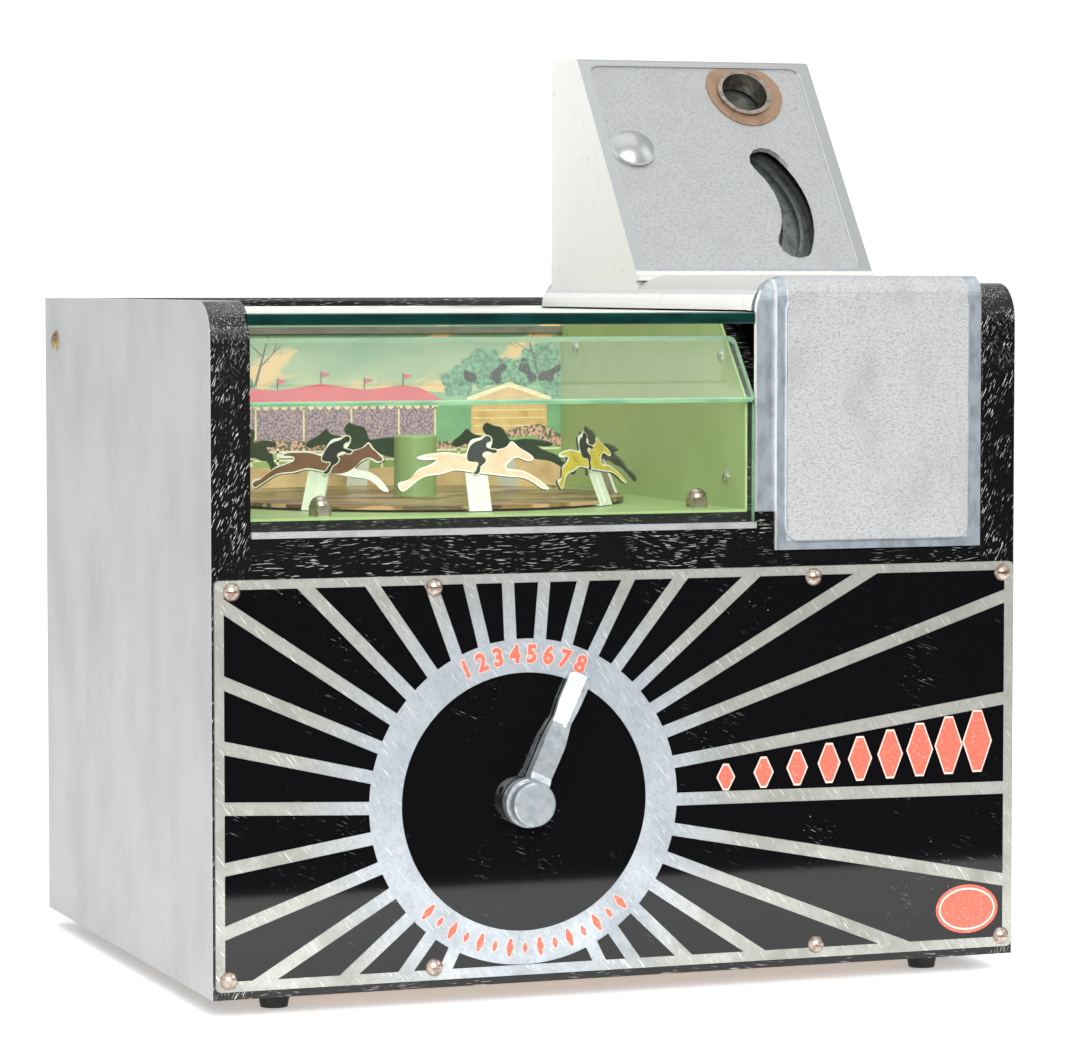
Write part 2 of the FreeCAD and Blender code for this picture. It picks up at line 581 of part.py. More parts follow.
sheet = Part.Face(Part.Wire(curve.toShape())).extrude(V(0, -0.9, 0))
strip = block(-strip_w / 2, strip_w / 2, 0, 1.0, 0.2, strip_len)
strip = strip.fuse(block(-1.2, 1.2, -0.4, 0.5, 1.5, 12.0))
foot_z = disc_z - 0.6
strips = []
for k in range(horses):
    turn = first_horse + 360.0 * k / horses
    foot_r = disc_r + 1.9
    spot = V(car_x + foot_r * math.cos(math.radians(turn)),
             car_y + foot_r * math.sin(math.radians(turn)), foot_z)
    cut_out = sheet.copy()
    cut_out.translate(V(horse_slip.get(k + 1, 0), 0, 0))
    leaning = strip.copy()
    for piece in (cut_out, leaning):
        piece.rotate(V(0, 0, 0), V(1, 0, 0), -strip_lean)
    leaning = leaning.fuse(block(-strip_w / 2, strip_w / 2, 0.2, 10.0, 0, 0.6))
    for piece in (cut_out, leaning):
        piece.rotate(V(0, 0, 0), V(0, 0, 1), turn + 90)
        piece.translate(spot)
    strips.append(leaning)
    keep("horse_%d" % (k + 1), cut_out)
keep("horse_posts", group(strips))

# Trip lever: nose over the locking disc, pan under the chute
lever = front_profile([(dial_x + 3.6, 95.2), (dial_x + 3.6, 89.4), (dial_x + 6.4, 89.4), (dial_x + 7.4, 92.0),
                       (lever_x - 6, lever_z - 4), (lever_x, lever_z - 7), (lever_x + 6, lever_z - 4),
                       (319, 98.0), (319, 100.0), (lever_x + 6, lever_z + 4), (lever_x, lever_z + 7),
                       (lever_x - 6, lever_z + 4)], 22.2, 25.2)
lever = lever.fuse(block(296, 319, 25.0, 58, 98.4, 100.0))
lever = lever.fuse(block(147, 147 + weight_len, 20.2, 30.2, 95.5, 108.5))
lever = lever.fuse(rod((lever_x, 18, lever_z), (0, 1, 0), 5.0, 11))
lever = lever.cut(rod((lever_x, 10, lever_z), (0, 1, 0), 2.5 + run_gap, 24))
keep("trip_lever", lever)
stud = rod((lever_x, 12, lever_z), (0, 1, 0), 2.5, 20).fuse(rod((lever_x, 12, lever_z), (0, 1, 0), 6.0, 3.0))
stud = stud.fuse(rod((lever_x, 30.2, lever_z), (0, 1, 0), 4.4, 2.4))
keep("lever_stud", stud)
spring = block(dial_x - 24, dial_x - 22.8, 15.4, 18.0, dial_z - 24, dial_z + 6)
spring = spring.fuse(block(dial_x - 24, dial_x - 6, 15.4, 18.0, dial_z - 24, dial_z - 22.8))
spring = spring.fuse(block(dial_x - 30, dial_x - 22.8, 12, 18.0, dial_z + 4, dial_z + 12))
spring = spring.fuse(front_profile([(dial_x - 7, dial_z - 23), (dial_x + 1.4, dial_z - 20.2),
                                    (dial_x, dial_z - 18.6), (dial_x - 1.4, dial_z - 20.2),
                                    (dial_x - 8, dial_z - 21.8)], 15.4, 18.0))
keep("detent_spring", spring)

# Back door with hinges and cam lock
door = block(board + 0.8, width - board - 0.8, door_y, door_y + door_t, door_low, door_high)
lock_x = width - board - 17
lock_z = 126.0
door = door.cut(rod((lock_x, door_y - 1, lock_z), (0, 1, 0), 8.0, door_t + 2))
keep("back_door", door)
fixed = []
moving = []
for z in (52.0, 200.0):
    for i in range(5):
        knuckle = rod((hinge_x, hinge_y, z + i * 8.0 + 0.2), (0, 0, 1), 3.0, 7.6)
        leaf = block(hinge_x - 13, hinge_x, depth, depth + 1.2, z + i * 8.0 + 0.2, z + i * 8.0 + 7.8)
        web = block(hinge_x - 1.4, hinge_x, depth, hinge_y, z + i * 8.0 + 0.2, z + i * 8.0 + 7.8)
        if i % 2:
            leaf = block(hinge_x + 0.2, hinge_x + 15, depth - 1.4, depth - 0.2, z + i * 8.0 + 0.2,
                         z + i * 8.0 + 7.8)
            web = block(hinge_x + 0.2, hinge_x + 1.6, depth - 1.4, hinge_y, z + i * 8.0 + 0.2,
                        z + i * 8.0 + 7.8)
            bored = knuckle.fuse([leaf, web])
            moving.append(bored.cut(rod((hinge_x, hinge_y, z), (0, 0, 1), 1.5 + run_gap, 40)))
        else:
            fixed.append(knuckle.fuse([leaf, web]))
    fixed.append(rod((hinge_x, hinge_y, z + 0.1), (0, 0, 1), 1.5, 39.8))
pins = fixed[0]
for piece in fixed[1:]:
    pins = pins.fuse(piece)
strike = block(width - board - 9, width - board, 246.0, 248.4, lock_z - 16, lock_z + 16)
strike = strike.fuse(block(width - board - 1.6, width - board, 232, 248.4, lock_z - 16, lock_z + 16))
keep("door_irons", group(pins.Solids + [strike]))
barrel = rod((lock_x, door_y - 4, lock_z), (0, 1, 0), 8.0, door_t + 5.6)
barrel = barrel.fuse(rod((lock_x, door_y + door_t, lock_z), (0, 1, 0), 11.0, 1.4))
barrel = barrel.cut(rod((lock_x, door_y - 5, lock_z), (0, 1, 0), 5.0 + run_gap, 30))
keep("door_fittings", group(moving + [barrel]))
plug = rod((lock_x, door_y - 11, lock_z), (0, 1, 0), 5.0, door_t + 12.2)
plug = plug.cut(block(lock_x - 0.6, lock_x + 0.6, door_y + door_t - 4, 300, lock_z - 3, lock_z + 3))
cam = front_profile(fan(lock_x, lock_z, 7, 0, -180, 8) + [(lock_x - 4, lock_z + 14), (lock_x + 4, lock_z + 14)],
                    door_y - 10.6, door_y - 8.2)
keep("lock_plug", plug.fuse(cam))

# Move into the frame and write one file per piece
for name, shape in nodes.items():
    shape = shape.copy()
    shape.translate(shift)
    shape.exportStep("parts/%s.step" % name)
box = group(list(nodes.values())).BoundBox
print("nodes", len(nodes))
for name, shape in nodes.items():
    if not shape.isValid() or (len(shape.Solids) > 1 and shape.ShapeType != "Compound"):
        print("look at", name, shape.isValid(), len(shape.Solids))
lever_off = nodes["trip_lever"].Solids[0].CenterOfMass.x - lever_x
print("lever balance", round(lever_off, 3), round(nodes["trip_lever"].Volume))
print("shift", [round(v, 4) for v in shift])
print("box", [round(v, 2) for v in (box.XMin, box.XMax, box.YMin, box.YMax, box.ZMin, box.ZMax)])
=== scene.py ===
import bpy
import math
from mathutils import Matrix, Vector


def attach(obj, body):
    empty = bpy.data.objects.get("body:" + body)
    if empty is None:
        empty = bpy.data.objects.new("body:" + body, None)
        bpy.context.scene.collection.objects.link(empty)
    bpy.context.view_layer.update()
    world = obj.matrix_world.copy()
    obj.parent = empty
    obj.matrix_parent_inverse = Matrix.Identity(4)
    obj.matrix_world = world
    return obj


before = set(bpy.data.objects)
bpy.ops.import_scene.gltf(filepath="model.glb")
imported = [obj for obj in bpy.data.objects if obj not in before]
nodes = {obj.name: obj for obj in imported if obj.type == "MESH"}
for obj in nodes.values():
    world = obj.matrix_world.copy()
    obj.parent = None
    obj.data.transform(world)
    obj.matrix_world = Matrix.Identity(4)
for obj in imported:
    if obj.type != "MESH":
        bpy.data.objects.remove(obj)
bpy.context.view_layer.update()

print("stage: frame loaded,", len(nodes), "nodes")

# Places below are in millimetres from the cabinet's left front bottom corner, as on the drawing
origin = {"x": 171.5, "y": 128.1, "z": -7.0}


def spot(x, y, z):
    return Vector(((x - origin["x"]) / 1000, (y - origin["y"]) / 1000, (z - origin["z"]) / 1000))


# an sRGB hex value as linear colour
def linearColour(hexValue):
    out = []
    for i in (1, 3, 5):
        part = int(hexValue[i:i + 2], 16) / 255
        out.append(part / 12.92 if part <= 0.04045 else ((part + 0.055) / 1.055) ** 2.4)
    return (*out, 1.0)


# adds one node: each entry is a setting, a value or colour for an input, or the socket that feeds it
def addNode(tree, kind, entries=None, out=0):
    node = tree.nodes.new("ShaderNode" + kind)
    for key, value in (entries or {}).items():
        if isinstance(value, str) and value.startswith("#"):
            value = linearColour(value)
        if isinstance(value, bpy.types.NodeSocket):
            tree.links.new(value, node.inputs[key])
        elif isinstance(key, str) and hasattr(node, key):
            setattr(node, key, value)
        else:
            node.inputs[key].default_value = value
    return node.outputs[out]


def newFinish(name, colour, roughness, metallic=0.0):
    finish = bpy.data.materials.new(name)
    finish.use_nodes = True
    tree = finish.node_tree
    shader = tree.nodes["Principled BSDF"]
    shader.inputs["Base Color"].default_value = linearColour(colour)
    shader.inputs["Roughness"].default_value = roughness
    shader.inputs["Metallic"].default_value = metallic
    return finish, tree, shader, addNode(tree, "TexCoord", {}, "Object")


# patches of a real size in millimetres, 0 to 1 between two levels of the noise; longer each way by what long says
def patches(tree, place, sizeMm, low, high, long=(1, 1, 1), detail=3.0, turn=(0, 0, 0)):
    laid = addNode(tree, "Mapping", {"vector_type": "TEXTURE", "Scale": long, "Rotation": turn, "Vector": place})
    noise = addNode(tree, "TexNoise", {"Scale": 1000 / sizeMm, "Detail": detail, "Vector": laid})
    return addNode(tree, "MapRange", {"Value": noise, "From Min": low, "From Max": high})


# wires up a finish: its colour, its roughness between two values, and its relief in millimetres
def wireFinish(tree, shader, colour, rough=None, height=None, depthMm=0.02, strength=0.4):
    tree.links.new(colour, shader.inputs["Base Color"])
    if rough:
        amount, low, high = rough
        spread = addNode(tree, "MapRange", {"Value": amount, "To Min": low, "To Max": high})
        tree.links.new(spread, shader.inputs["Roughness"])
    if height:
        bump = addNode(tree, "Bump", {"Height": height, "Distance": depthMm / 1000, "Strength": strength})
        tree.links.new(bump, shader.inputs["Normal"])


# lays colours over a base one after another, each as far as its mask says
def layColours(tree, base, *layers):
    for mask, colour in layers:
        base = addNode(tree, "Mix", {"data_type": "RGBA", 0: mask, 6: base, 7: colour}, 2)
    return base


# white lime left in the open grain of black lacquered wood: short flecks along the grain, in drifts
def limeFlecks(tree, place, long, fleckMm, driftMm, turn, low):
    fine = patches(tree, place, fleckMm, low, low + 0.03, long, 1.0, turn)
    drift = patches(tree, place, driftMm, 0.4, 0.56, detail=2.0)
    return addNode(tree, "Math", {"operation": "MULTIPLY", 0: fine, 1: drift})


# aluminium paint brushed on pine: near matt silver with a faint upright grain; the edges are black lacquer, limed
sidePaint = {"silver": "#A2A3A4", "light": "#B2B3B4", "scratch": "#CBCBCB", "black": "#0B0B0C", "lime": "#C6C5BF",
             "outerFace": 0.1713, "grainMm": 1.1, "fleckMm": 0.34}


def makeSidePaint():
    v = sidePaint
    finish, tree, shader, place = newFinish("aluminiumPaintedBoard", v["silver"], 0.5)
    axes = addNode(tree, "SeparateXYZ", {0: place}).node.outputs
    across = addNode(tree, "Math", {"operation": "ABSOLUTE", 0: axes[0]})
    outer = addNode(tree, "Math", {"operation": "GREATER_THAN", 0: across, 1: v["outerFace"]})
    streaks = patches(tree, place, v["grainMm"], 0.3, 0.75, (1, 1, 14), 4.0)
    clouds = patches(tree, place, 34.0, 0.3, 0.7, (1, 1, 1.6), 5.0)
    scratches = patches(tree, place, 0.45, 0.66, 0.7, (1, 1, 16), 1.0, (0.35, 0, 0))
    ferned = patches(tree, place, 0.5, 0.64, 0.7, (1, 1, 9), 2.0, (-0.6, 0, 0))
    drift = patches(tree, place, 45.0, 0.5, 0.66)
    marks = addNode(tree, "Math", {"operation": "MAXIMUM", 0: scratches, 1: ferned})
    marks = addNode(tree, "Math", {"operation": "MULTIPLY", 0: marks, 1: drift})
    mottle = addNode(tree, "Math", {"operation": "MULTIPLY_ADD", "use_clamp": True, 0: streaks, 1: 0.45, 2: clouds})
    silver = layColours(tree, v["silver"], (mottle, v["light"]), (marks, v["scratch"]))
    upright = limeFlecks(tree, place, (1, 1, 10), v["fleckMm"], 9.0, (0, 0.42, 0), 0.65)
    crossed = limeFlecks(tree, place, (1, 1, 7), v["fleckMm"], 12.0, (0, -0.5, 0), 0.63)
    high = addNode(tree, "MapRange", {"Value": axes[2], "From Min": 0.245, "From Max": 0.272, "To Max": 0.6})
    crossed = addNode(tree, "Math", {"operation": "MULTIPLY", 0: crossed, 1: high})
    flecks = addNode(tree, "Math", {"operation": "MAXIMUM", 0: upright, 1: crossed})
    edge = layColours(tree, v["black"], (flecks, v["lime"]))
    colour = layColours(tree, edge, (outer, silver))
    relief = addNode(tree, "Math", {"operation": "ADD", 0: streaks, 1: flecks})
    wireFinish(tree, shader, colour, (outer, 0.2, 0.52), relief, 0.04, 0.35)
    flakes = addNode(tree, "MapRange", {"Value": outer, "To Max": 0.3})
    tree.links.new(flakes, shader.inputs["Metallic"])
    return finish


# the same black limed lacquer on the rails, grain lying across; the rear rail's face below its top is near white with
# streaks, far paler than the silver paint on the sides
limedRail = {"black": "#0B0B0C", "lime": "#8F8E89", "fleckMm": 0.36, "paleFaceBelow": 0.2735, "silver": "#EDEDE9",
             "streak": "#B4B4AE"}


def makeLimedRail():
    v = limedRail
    finish, tree, shader, place = newFinish("limedBlackRail", v["black"], 0.22)
    axes = addNode(tree, "SeparateXYZ", {0: place}).node.outputs
    wavy = addNode(tree, "TexNoise", {"Scale": 1000 / 45.0, "Detail": 1.0, "Vector": place}, "Color")
    bent = addNode(tree, "VectorMath", {"operation": "MULTIPLY_ADD", 0: wavy, 1: (0.004, 0.004, 0.016), 2: place})
    flecks = limeFlecks(tree, bent, (16, 1, 1), v["fleckMm"], 17.0, (0, 0, 0), 0.645)
    black = layColours(tree, v["black"], (flecks, v["lime"]))
    behind = addNode(tree, "Math", {"operation": "GREATER_THAN", 0: axes[1], 1: 0.05})
    below = addNode(tree, "Math", {"operation": "LESS_THAN", 0: axes[2], 1: v["paleFaceBelow"]})
    rear = addNode(tree, "Math", {"operation": "MULTIPLY", 0: behind, 1: below})
    streaks = patches(tree, place, 1.0, 0.4, 0.65, (40, 1, 1), 2.0)
    silver = layColours(tree, v["silver"], (streaks, v["streak"]))
    colour = layColours(tree, black, (rear, silver))
    wireFinish(tree, shader, colour, (flecks, 0.2, 0.5), flecks, -0.04, 0.5)
    return finish


# bare pine inside the box: soft yellow brown bands, open and dull
barePine = {"light": "#C9A676", "dark": "#9A7447", "fibre": "#7D5B35", "ringMm": 5.0}


def makeBarePine():
    v = barePine
    finish, tree, shader, place = newFinish("barePine", v["light"], 0.62)
    along = addNode(tree, "Mapping", {"Scale": (0.12, 1, 1), "Vector": place})
    rings = addNode(tree, "TexWave", {"wave_type": "RINGS", "Scale": 50 / v["ringMm"], "Distortion": 6.0,
                                      "Detail": 3.0, "Detail Scale": 2.0, "Vector": along}, "Fac")
    fibre = patches(tree, place, 0.8, 0.3, 1.6, (20, 1, 1))
    colour = layColours(tree, v["light"], (rings, v["dark"]), (fibre, v["fibre"]))
    wireFinish(tree, shader, colour, (fibre, 0.55, 0.75), fibre, 0.05)
    return finish


# stained plywood door, dull, with a straight fine grain
stainedPly = {"dark": "#2E251C", "light": "#4A3B2B", "band": "#5C4A36"}


def makeStainedPly():
    v = stainedPly
    finish, tree, shader, place = newFinish("stainedPlywood", v["dark"], 0.5)
    grain = patches(tree, place, 1.6, 0.35, 0.7, (1, 1, 25), 5.0)
    bands = patches(tree, place, 18.0, 0.35, 1.0, (1, 1, 10))
    colour = layColours(tree, v["dark"], (grain, v["light"]), (bands, v["band"]))
    wireFinish(tree, shader, colour, (grain, 0.42, 0.6), grain, 0.08)
    return finish


# half hard aluminium sheet, wiped bright long ago: cooler grey on the ring, warmer grey outside it,
# with cloudy tarnish, rubbed patches and hairlines
plateSheet = {"cool": "#BCC3C9", "coolDull": "#9CA4AB", "warm": "#B4B4AE", "warmDull": "#93938C", "pit": "#84847E",
              "line": "#E6E6E2", "ringEnd": 0.0655}


def makePlateSheet():
    v = plateSheet
    finish, tree, shader, place = newFinish("wipedAluminiumSheet", v["cool"], 0.34, 0.5)
    clouds = patches(tree, place, 20.0, 0.38, 0.66, detail=5.0)
    fine = patches(tree, place, 1.4, 0.5, 1.1, detail=4.0)
    lines = patches(tree, place, 0.35, 0.68, 0.72, (22, 1, 1), 1.0, (0, 0.9, 0))
    middle = spot(dial["x"], dial["face"], dial["z"])
    away = addNode(tree, "VectorMath", {"operation": "DISTANCE", 0: place, 1: tuple(middle)}, "Value")
    outside = addNode(tree, "MapRange", {"Value": away, "From Min": v["ringEnd"], "From Max": v["ringEnd"] + 0.03})
    cool = layColours(tree, v["cool"], (clouds, v["coolDull"]))
    warm = layColours(tree, v["warm"], (clouds, v["warmDull"]))
    colour = layColours(tree, cool, (outside, warm), (fine, v["pit"]), (lines, v["line"]))
    wireFinish(tree, shader, colour, (clouds, 0.3, 0.46), fine, 0.02, 0.35)
    return finish


# stoved enamel: deep glossy black with a few dust specks and fine scuffs
stovedEnamel = {"black": "#0B0B0D", "dust": "#8E8E8C"}


def makeStovedEnamel():
    v = stovedEnamel
    finish, tree, shader, place = newFinish("stovedBlackEnamel", v["black"], 0.06)
    dust = patches(tree, place, 0.9, 0.8, 0.83, detail=0.0)
    drift = patches(tree, place, 28.0, 0.56, 0.66)
    dust = addNode(tree, "Math", {"operation": "MULTIPLY", 0: dust, 1: drift})
    scuffs = patches(tree, place, 0.5, 0.7, 0.9, (14, 1, 1), 1.0, (0, 0.4, 0))
    scuffs = addNode(tree, "Math", {"operation": "MULTIPLY", 0: scuffs, 1: drift})
    marks = addNode(tree, "Math", {"operation": "MAXIMUM", 0: dust, 1: scuffs})
    colour = layColours(tree, v["black"], (marks, v["dust"]))
    wireFinish(tree, shader, colour, (scuffs, 0.05, 0.3), patches(tree, place, 9.0, 0.3, 0.7), 0.01, 0.12)
    return finish


# screen printed coral enamel, rubbed thin in places, with a pale pink keyline under it
coralInk = {"coral": "#E8604E", "worn": "#EF9484", "edge": "#F2C4B8", "edgeWorn": "#C9BFB8"}


def makeScreenInk(name, colour, worn, sizeMm):
    finish, tree, shader, place = newFinish(name, colour, 0.42)
    thin = patches(tree, place, sizeMm, 0.54, 0.78)
    mixed = layColours(tree, colour, (thin, worn))
    wireFinish(tree, shader, mixed, (thin, 0.38, 0.55), thin, -0.02)
    return finish


# gravity cast aluminium: leathery pebble on the show faces, smooth filed rims, and blasted near white walls; the
# pebble's hollows, the sloped head and the flange carry painted shade
# the darker colours for the pebble's hollows, the sloped head's pebble and rims, and the flange are painted shade
casting = {"pebble": "#A9AAAB", "hollow": "#6F7172", "headShade": "#989A9A", "stain": "#8B8C89", "rim": "#B2BBC2",
           "rimDull": "#8F989F", "headRimShade": "#9D9FA0", "wall": "#F1F1EE", "wallStain": "#DEDDD8", "flange": "#BFBFBB",
           "pebbleMm": 0.95, "bossRadius": 0.0118, "bossX": 245.8, "bossUp": 69.0, "footY": 139.0, "footZ": 281.8,
           "slope": 52.8}
# opposite corners of the casting's parts
castParts = {"flange": ((226, 80, 276), (344, 252, 282.2)), "skirt": ((226, 8, 265.5), (240.2, 252, 282.2)),
             "head": ((235.3, 135, 282.9), (336.9, 250, 373.8)), "apron": ((240.2, -20, 173.2), (320.9, 3.5, 274.5)),
             "roll": ((240.2, -20, 273.0), (320.9, 80.0, 281.0))}


def makeCasting():
    v = casting
    finish, tree, shader, place = newFinish("pebbledCastAluminium", v["rim"], 0.3, 0.5)
    axes = addNode(tree, "SeparateXYZ", {0: place}).node.outputs

    def inside(part):
        # 1 within that part's box, fading over half a millimetre
        share = None
        for axis, low, high in zip(axes, *(spot(*corner) for corner in castParts[part])):
            middle, half = (low + high) / 2, (high - low) / 2
            off = addNode(tree, "Math", {"operation": "SUBTRACT", 0: axis, 1: middle})
            off = addNode(tree, "Math", {"operation": "ABSOLUTE", 0: off})
            along = addNode(tree, "MapRange", {"Value": off, "From Min": half, "From Max": half - 0.0005})
            share = addNode(tree, "Math", {"operation": "MULTIPLY", 0: share, 1: along}) if share else along
        return share

    facing = addNode(tree, "SeparateXYZ", {0: addNode(tree, "NewGeometry", {}, "True Normal")}).node.outputs
    sideways = addNode(tree, "Math", {"operation": "ABSOLUTE", 0: facing[0]})
    wall = addNode(tree, "MapRange", {"Value": sideways, "From Min": 0.75, "From Max": 0.9})
    # the flange and the skirt at its edge are blasted like the walls, and take a darker copy of the wall colour as
    # painted shade
    flange = addNode(tree, "Math", {"operation": "MAXIMUM", 0: inside("flange"), 1: inside("skirt")})
    level = addNode(tree, "Math", {"operation": "SUBTRACT", 0: 1.0, 1: wall})
    flange = addNode(tree, "Math", {"operation": "MULTIPLY", 0: flange, 1: level})
    wall = addNode(tree, "Math", {"operation": "MAXIMUM", 0: wall, 1: flange})
    head, apron, roll = inside("head"), inside("apron"), inside("roll")
    show = addNode(tree, "Math", {"operation": "MAXIMUM", 0: head, 1: apron})
    show = addNode(tree, "Math", {"operation": "MAXIMUM", 0: show, 1: roll})
    slope = math.radians(v["slope"])
    bossAt = spot(v["bossX"], v["footY"] + v["bossUp"] * math.cos(slope), v["footZ"] + v["bossUp"] * math.sin(slope))
    offBoss = addNode(tree, "VectorMath", {"operation": "DISTANCE", 0: place, 1: tuple(bossAt)}, "Value")
    offBoss = addNode(tree, "MapRange", {"Value": offBoss, "From Min": v["bossRadius"] - 0.0008,
                                         "From Max": v["bossRadius"]})
    show = addNode(tree, "Math", {"operation": "MULTIPLY", 0: show, 1: offBoss})
    bare = addNode(tree, "Math", {"operation": "SUBTRACT", 0: 1.0, 1: wall})
    show = addNode(tree, "Math", {"operation": "MULTIPLY", 0: show, 1: bare})
    onHead = addNode(tree, "MapRange", {"Value": axes[2], "From Min": 0.2885, "From Max": 0.2900})
    laid = addNode(tree, "Mapping", {"Scale": (0.75, 1.0, 1.2), "Vector": place})
    cells = addNode(tree, "TexVoronoi", {"feature": "SMOOTH_F1", "Scale": 1000 / v["pebbleMm"], "Smoothness": 0.6,
                                         "Vector": laid}, "Distance")
    pebble = addNode(tree, "MapRange", {"Value": cells, "From Min": 0.75, "From Max": 0.15})
    worm = patches(tree, place, 0.8, 0.35, 0.65, (1.3, 1, 0.85), 2.0)
    relief = addNode(tree, "Math", {"operation": "ADD", 0: pebble, 1: worm})
    # painted shade: the pebble's hollows take a darker colour
    hollowShadeMask = addNode(tree, "MapRange", {"Value": relief, "From Min": 1.1, "From Max": 0.2, "To Max": 0.5})
    # painted shade: above the head's foot the pebble, and below the rims, take darker copies of their colours
    shade = layColours(tree, v["pebble"], (onHead, v["headShade"]))
    pebbled = layColours(tree, shade, (hollowShadeMask, v["hollow"]))
    stain = patches(tree, place, 16.0, 0.52, 1.0, (1, 1, 2), 4.0)
    pebbled = layColours(tree, pebbled, (stain, v["stain"]))
    mottle = patches(tree, place, 4.0, 0.42, 0.7, (1, 1, 2), 5.0)
    smooth = layColours(tree, v["rim"], (mottle, v["rimDull"]), (onHead, v["headRimShade"]))
    spots = patches(tree, place, 6.0, 0.62, 0.8, detail=5.0)
    # the flange colour over the blasted wall colour is painted shade
    blastedWithFlangeShade = layColours(tree, v["wall"], (spots, v["wallStain"]), (flange, v["flange"]))
    smooth = layColours(tree, smooth, (wall, blastedWithFlangeShade))
    colour = layColours(tree, smooth, (show, pebbled))
    height = addNode(tree, "Math", {"operation": "MULTIPLY", 0: relief, 1: show})
    ripple = patches(tree, place, 7.0, 0.3, 5.0)
    height = addNode(tree, "Math", {"operation": "ADD", 0: height, 1: ripple})
    dull = addNode(tree, "Math", {"operation": "MAXIMUM", 0: wall, 1: show})
    wireFinish(tree, shader, colour, (dull, 0.3, 0.55), height, 0.09, 0.7)
    bright = addNode(tree, "MapRange", {"Value": dull, "To Min": 0.6, "To Max": 0.15})
    tree.links.new(bright, shader.inputs["Metallic"])
    return finish


# plated or turned metal: bright, with cloudy wear where fingers and screwdrivers have been
def makeWornMetal(name, bright, worn, roughness, wearMm=1.5, low=0.45, high=0.75, metallic=1.0):
    finish, tree, shader, place = newFinish(name, bright, roughness, metallic)
    spots = patches(tree, place, wearMm, low, high, detail=4.0)
    colour = layColours(tree, bright, (spots, worn))
    wireFinish(tree, shader, colour, (spots, roughness, min(roughness + 0.22, 1.0)), spots, 0.02, 0.3)
    return finish


# brushed strip and sheet: fine straight hairlines along one way
def makeBrushedMetal(name, light, dark, roughness, long, hairMm=0.35, metallic=1.0):
    finish, tree, shader, place = newFinish(name, light, roughness, metallic)
    hairs = patches(tree, place, hairMm, 0.3, 0.9, long, 2.0)
    blotch = patches(tree, place, 9.0, 0.48, 1.0, detail=4.0)
    colour = layColours(tree, light, (hairs, dark), (blotch, dark))
    wireFinish(tree, shader, colour, (hairs, roughness - 0.06, roughness + 0.1), hairs, 0.015)
    return finish


# hot dipped zinc: large dull spangles
def makeZincSheet():
    finish, tree, shader, place = newFinish("spangledZincSheet", "#A7AAAC", 0.42, 1.0)
    spangle = addNode(tree, "TexVoronoi", {"Scale": 1000 / 9.0, "Vector": place}, "Color")
    shade = addNode(tree, "SeparateXYZ", {0: spangle})
    colour = layColours(tree, "#8E9193", (shade, "#B9BCBE"))
    wireFinish(tree, shader, colour, (shade, 0.32, 0.55), patches(tree, place, 3.0, 0.3, 0.7), 0.02, 0.3)
    return finish


# cast handle, polished and since dulled by hands: soft grey lights, faint draw lines and small pits
handleMetal = {"bright": "#B7BDC0", "grey": "#8B9499", "pit": "#6E767A"}


def makeHandleMetal():
    v = handleMetal
    finish, tree, shader, place = newFinish("polishedCastHandle", v["bright"], 0.36, 0.7)
    lines = patches(tree, place, 0.5, 0.3, 0.8, (1, 1, 6), 2.0, (0, 0.43, 0))
    pits = patches(tree, place, 0.8, 0.62, 0.9, detail=2.0)
    clouds = patches(tree, place, 3.5, 0.4, 0.7, detail=5.0)
    colour = layColours(tree, v["bright"], (clouds, v["grey"]), (pits, v["pit"]))
    wireFinish(tree, shader, colour, (clouds, 0.32, 0.44), lines, 0.012, 0.25)
    return finish


# spray enamel on tinplate: smooth with a faint orange peel, rubbed paler in patches
def makeSprayEnamel(name, colour, paler, darker, roughness=0.36, peelMm=1.8):
    finish, tree, shader, place = newFinish(name, colour, roughness)
    rubbed = patches(tree, place, 26.0, 0.42, 0.95, detail=4.0)
    grime = patches(tree, place, 9.0, 0.55, 1.2, detail=5.0)
    mixed = layColours(tree, colour, (rubbed, paler), (grime, darker))
    peel = patches(tree, place, peelMm, 0.3, 0.7, detail=1.0)
    wireFinish(tree, shader, mixed, (rubbed, roughness, roughness + 0.12), peel, 0.02, 0.3)
    return finish


# lithographed tin turf: broad swirls of peach over tan, with brown, yellow and olive drawn through them
turfPrint = {"tan": "#94703F", "peach": "#C29B72", "yellow": "#A88B36", "olive": "#565328", "brown": "#5E3C20"}


def makeTurfPrint():
    v = turfPrint
    finish, tree, shader, place = newFinish("lithographedTurf", v["tan"], 0.3)
    wavy = addNode(tree, "TexNoise", {"Scale": 1000 / 40.0, "Detail": 2.0, "Vector": place}, "Color")
    bent = addNode(tree, "VectorMath", {"operation": "MULTIPLY_ADD", 0: wavy, 1: (0.03, 0.03, 0.0), 2: place})
    layers = (("peach", 26.0, 0.48, 0.5, (1.6, 1, 1)), ("yellow", 30.0, 0.57, 0.59, (2, 1, 1)),
              ("brown", 14.0, 0.57, 0.585, (3, 1, 1)), ("olive", 12.0, 0.59, 0.605, (2.6, 1, 1)))
    colour = layColours(tree, v["tan"], (patches(tree, place, 2.5, 0.4, 1.4), v["brown"]))
    for name, sizeMm, low, high, long in layers:
        laid = patches(tree, bent, sizeMm, low, high, long, 2.0)
        colour = layColours(tree, colour, (laid, v[name]))
    wireFinish(tree, shader, colour, None, patches(tree, place, 2.0, 0.3, 0.7), 0.01, 0.2)
    return finish


# printed tin horses: the front shows its cream keyline, the back and edges are plain dark green
horseTin = {"front": "#EDEBE2", "rubbed": "#CFC9B8", "back": "#2C4632", "backRubbed": "#4A6650"}


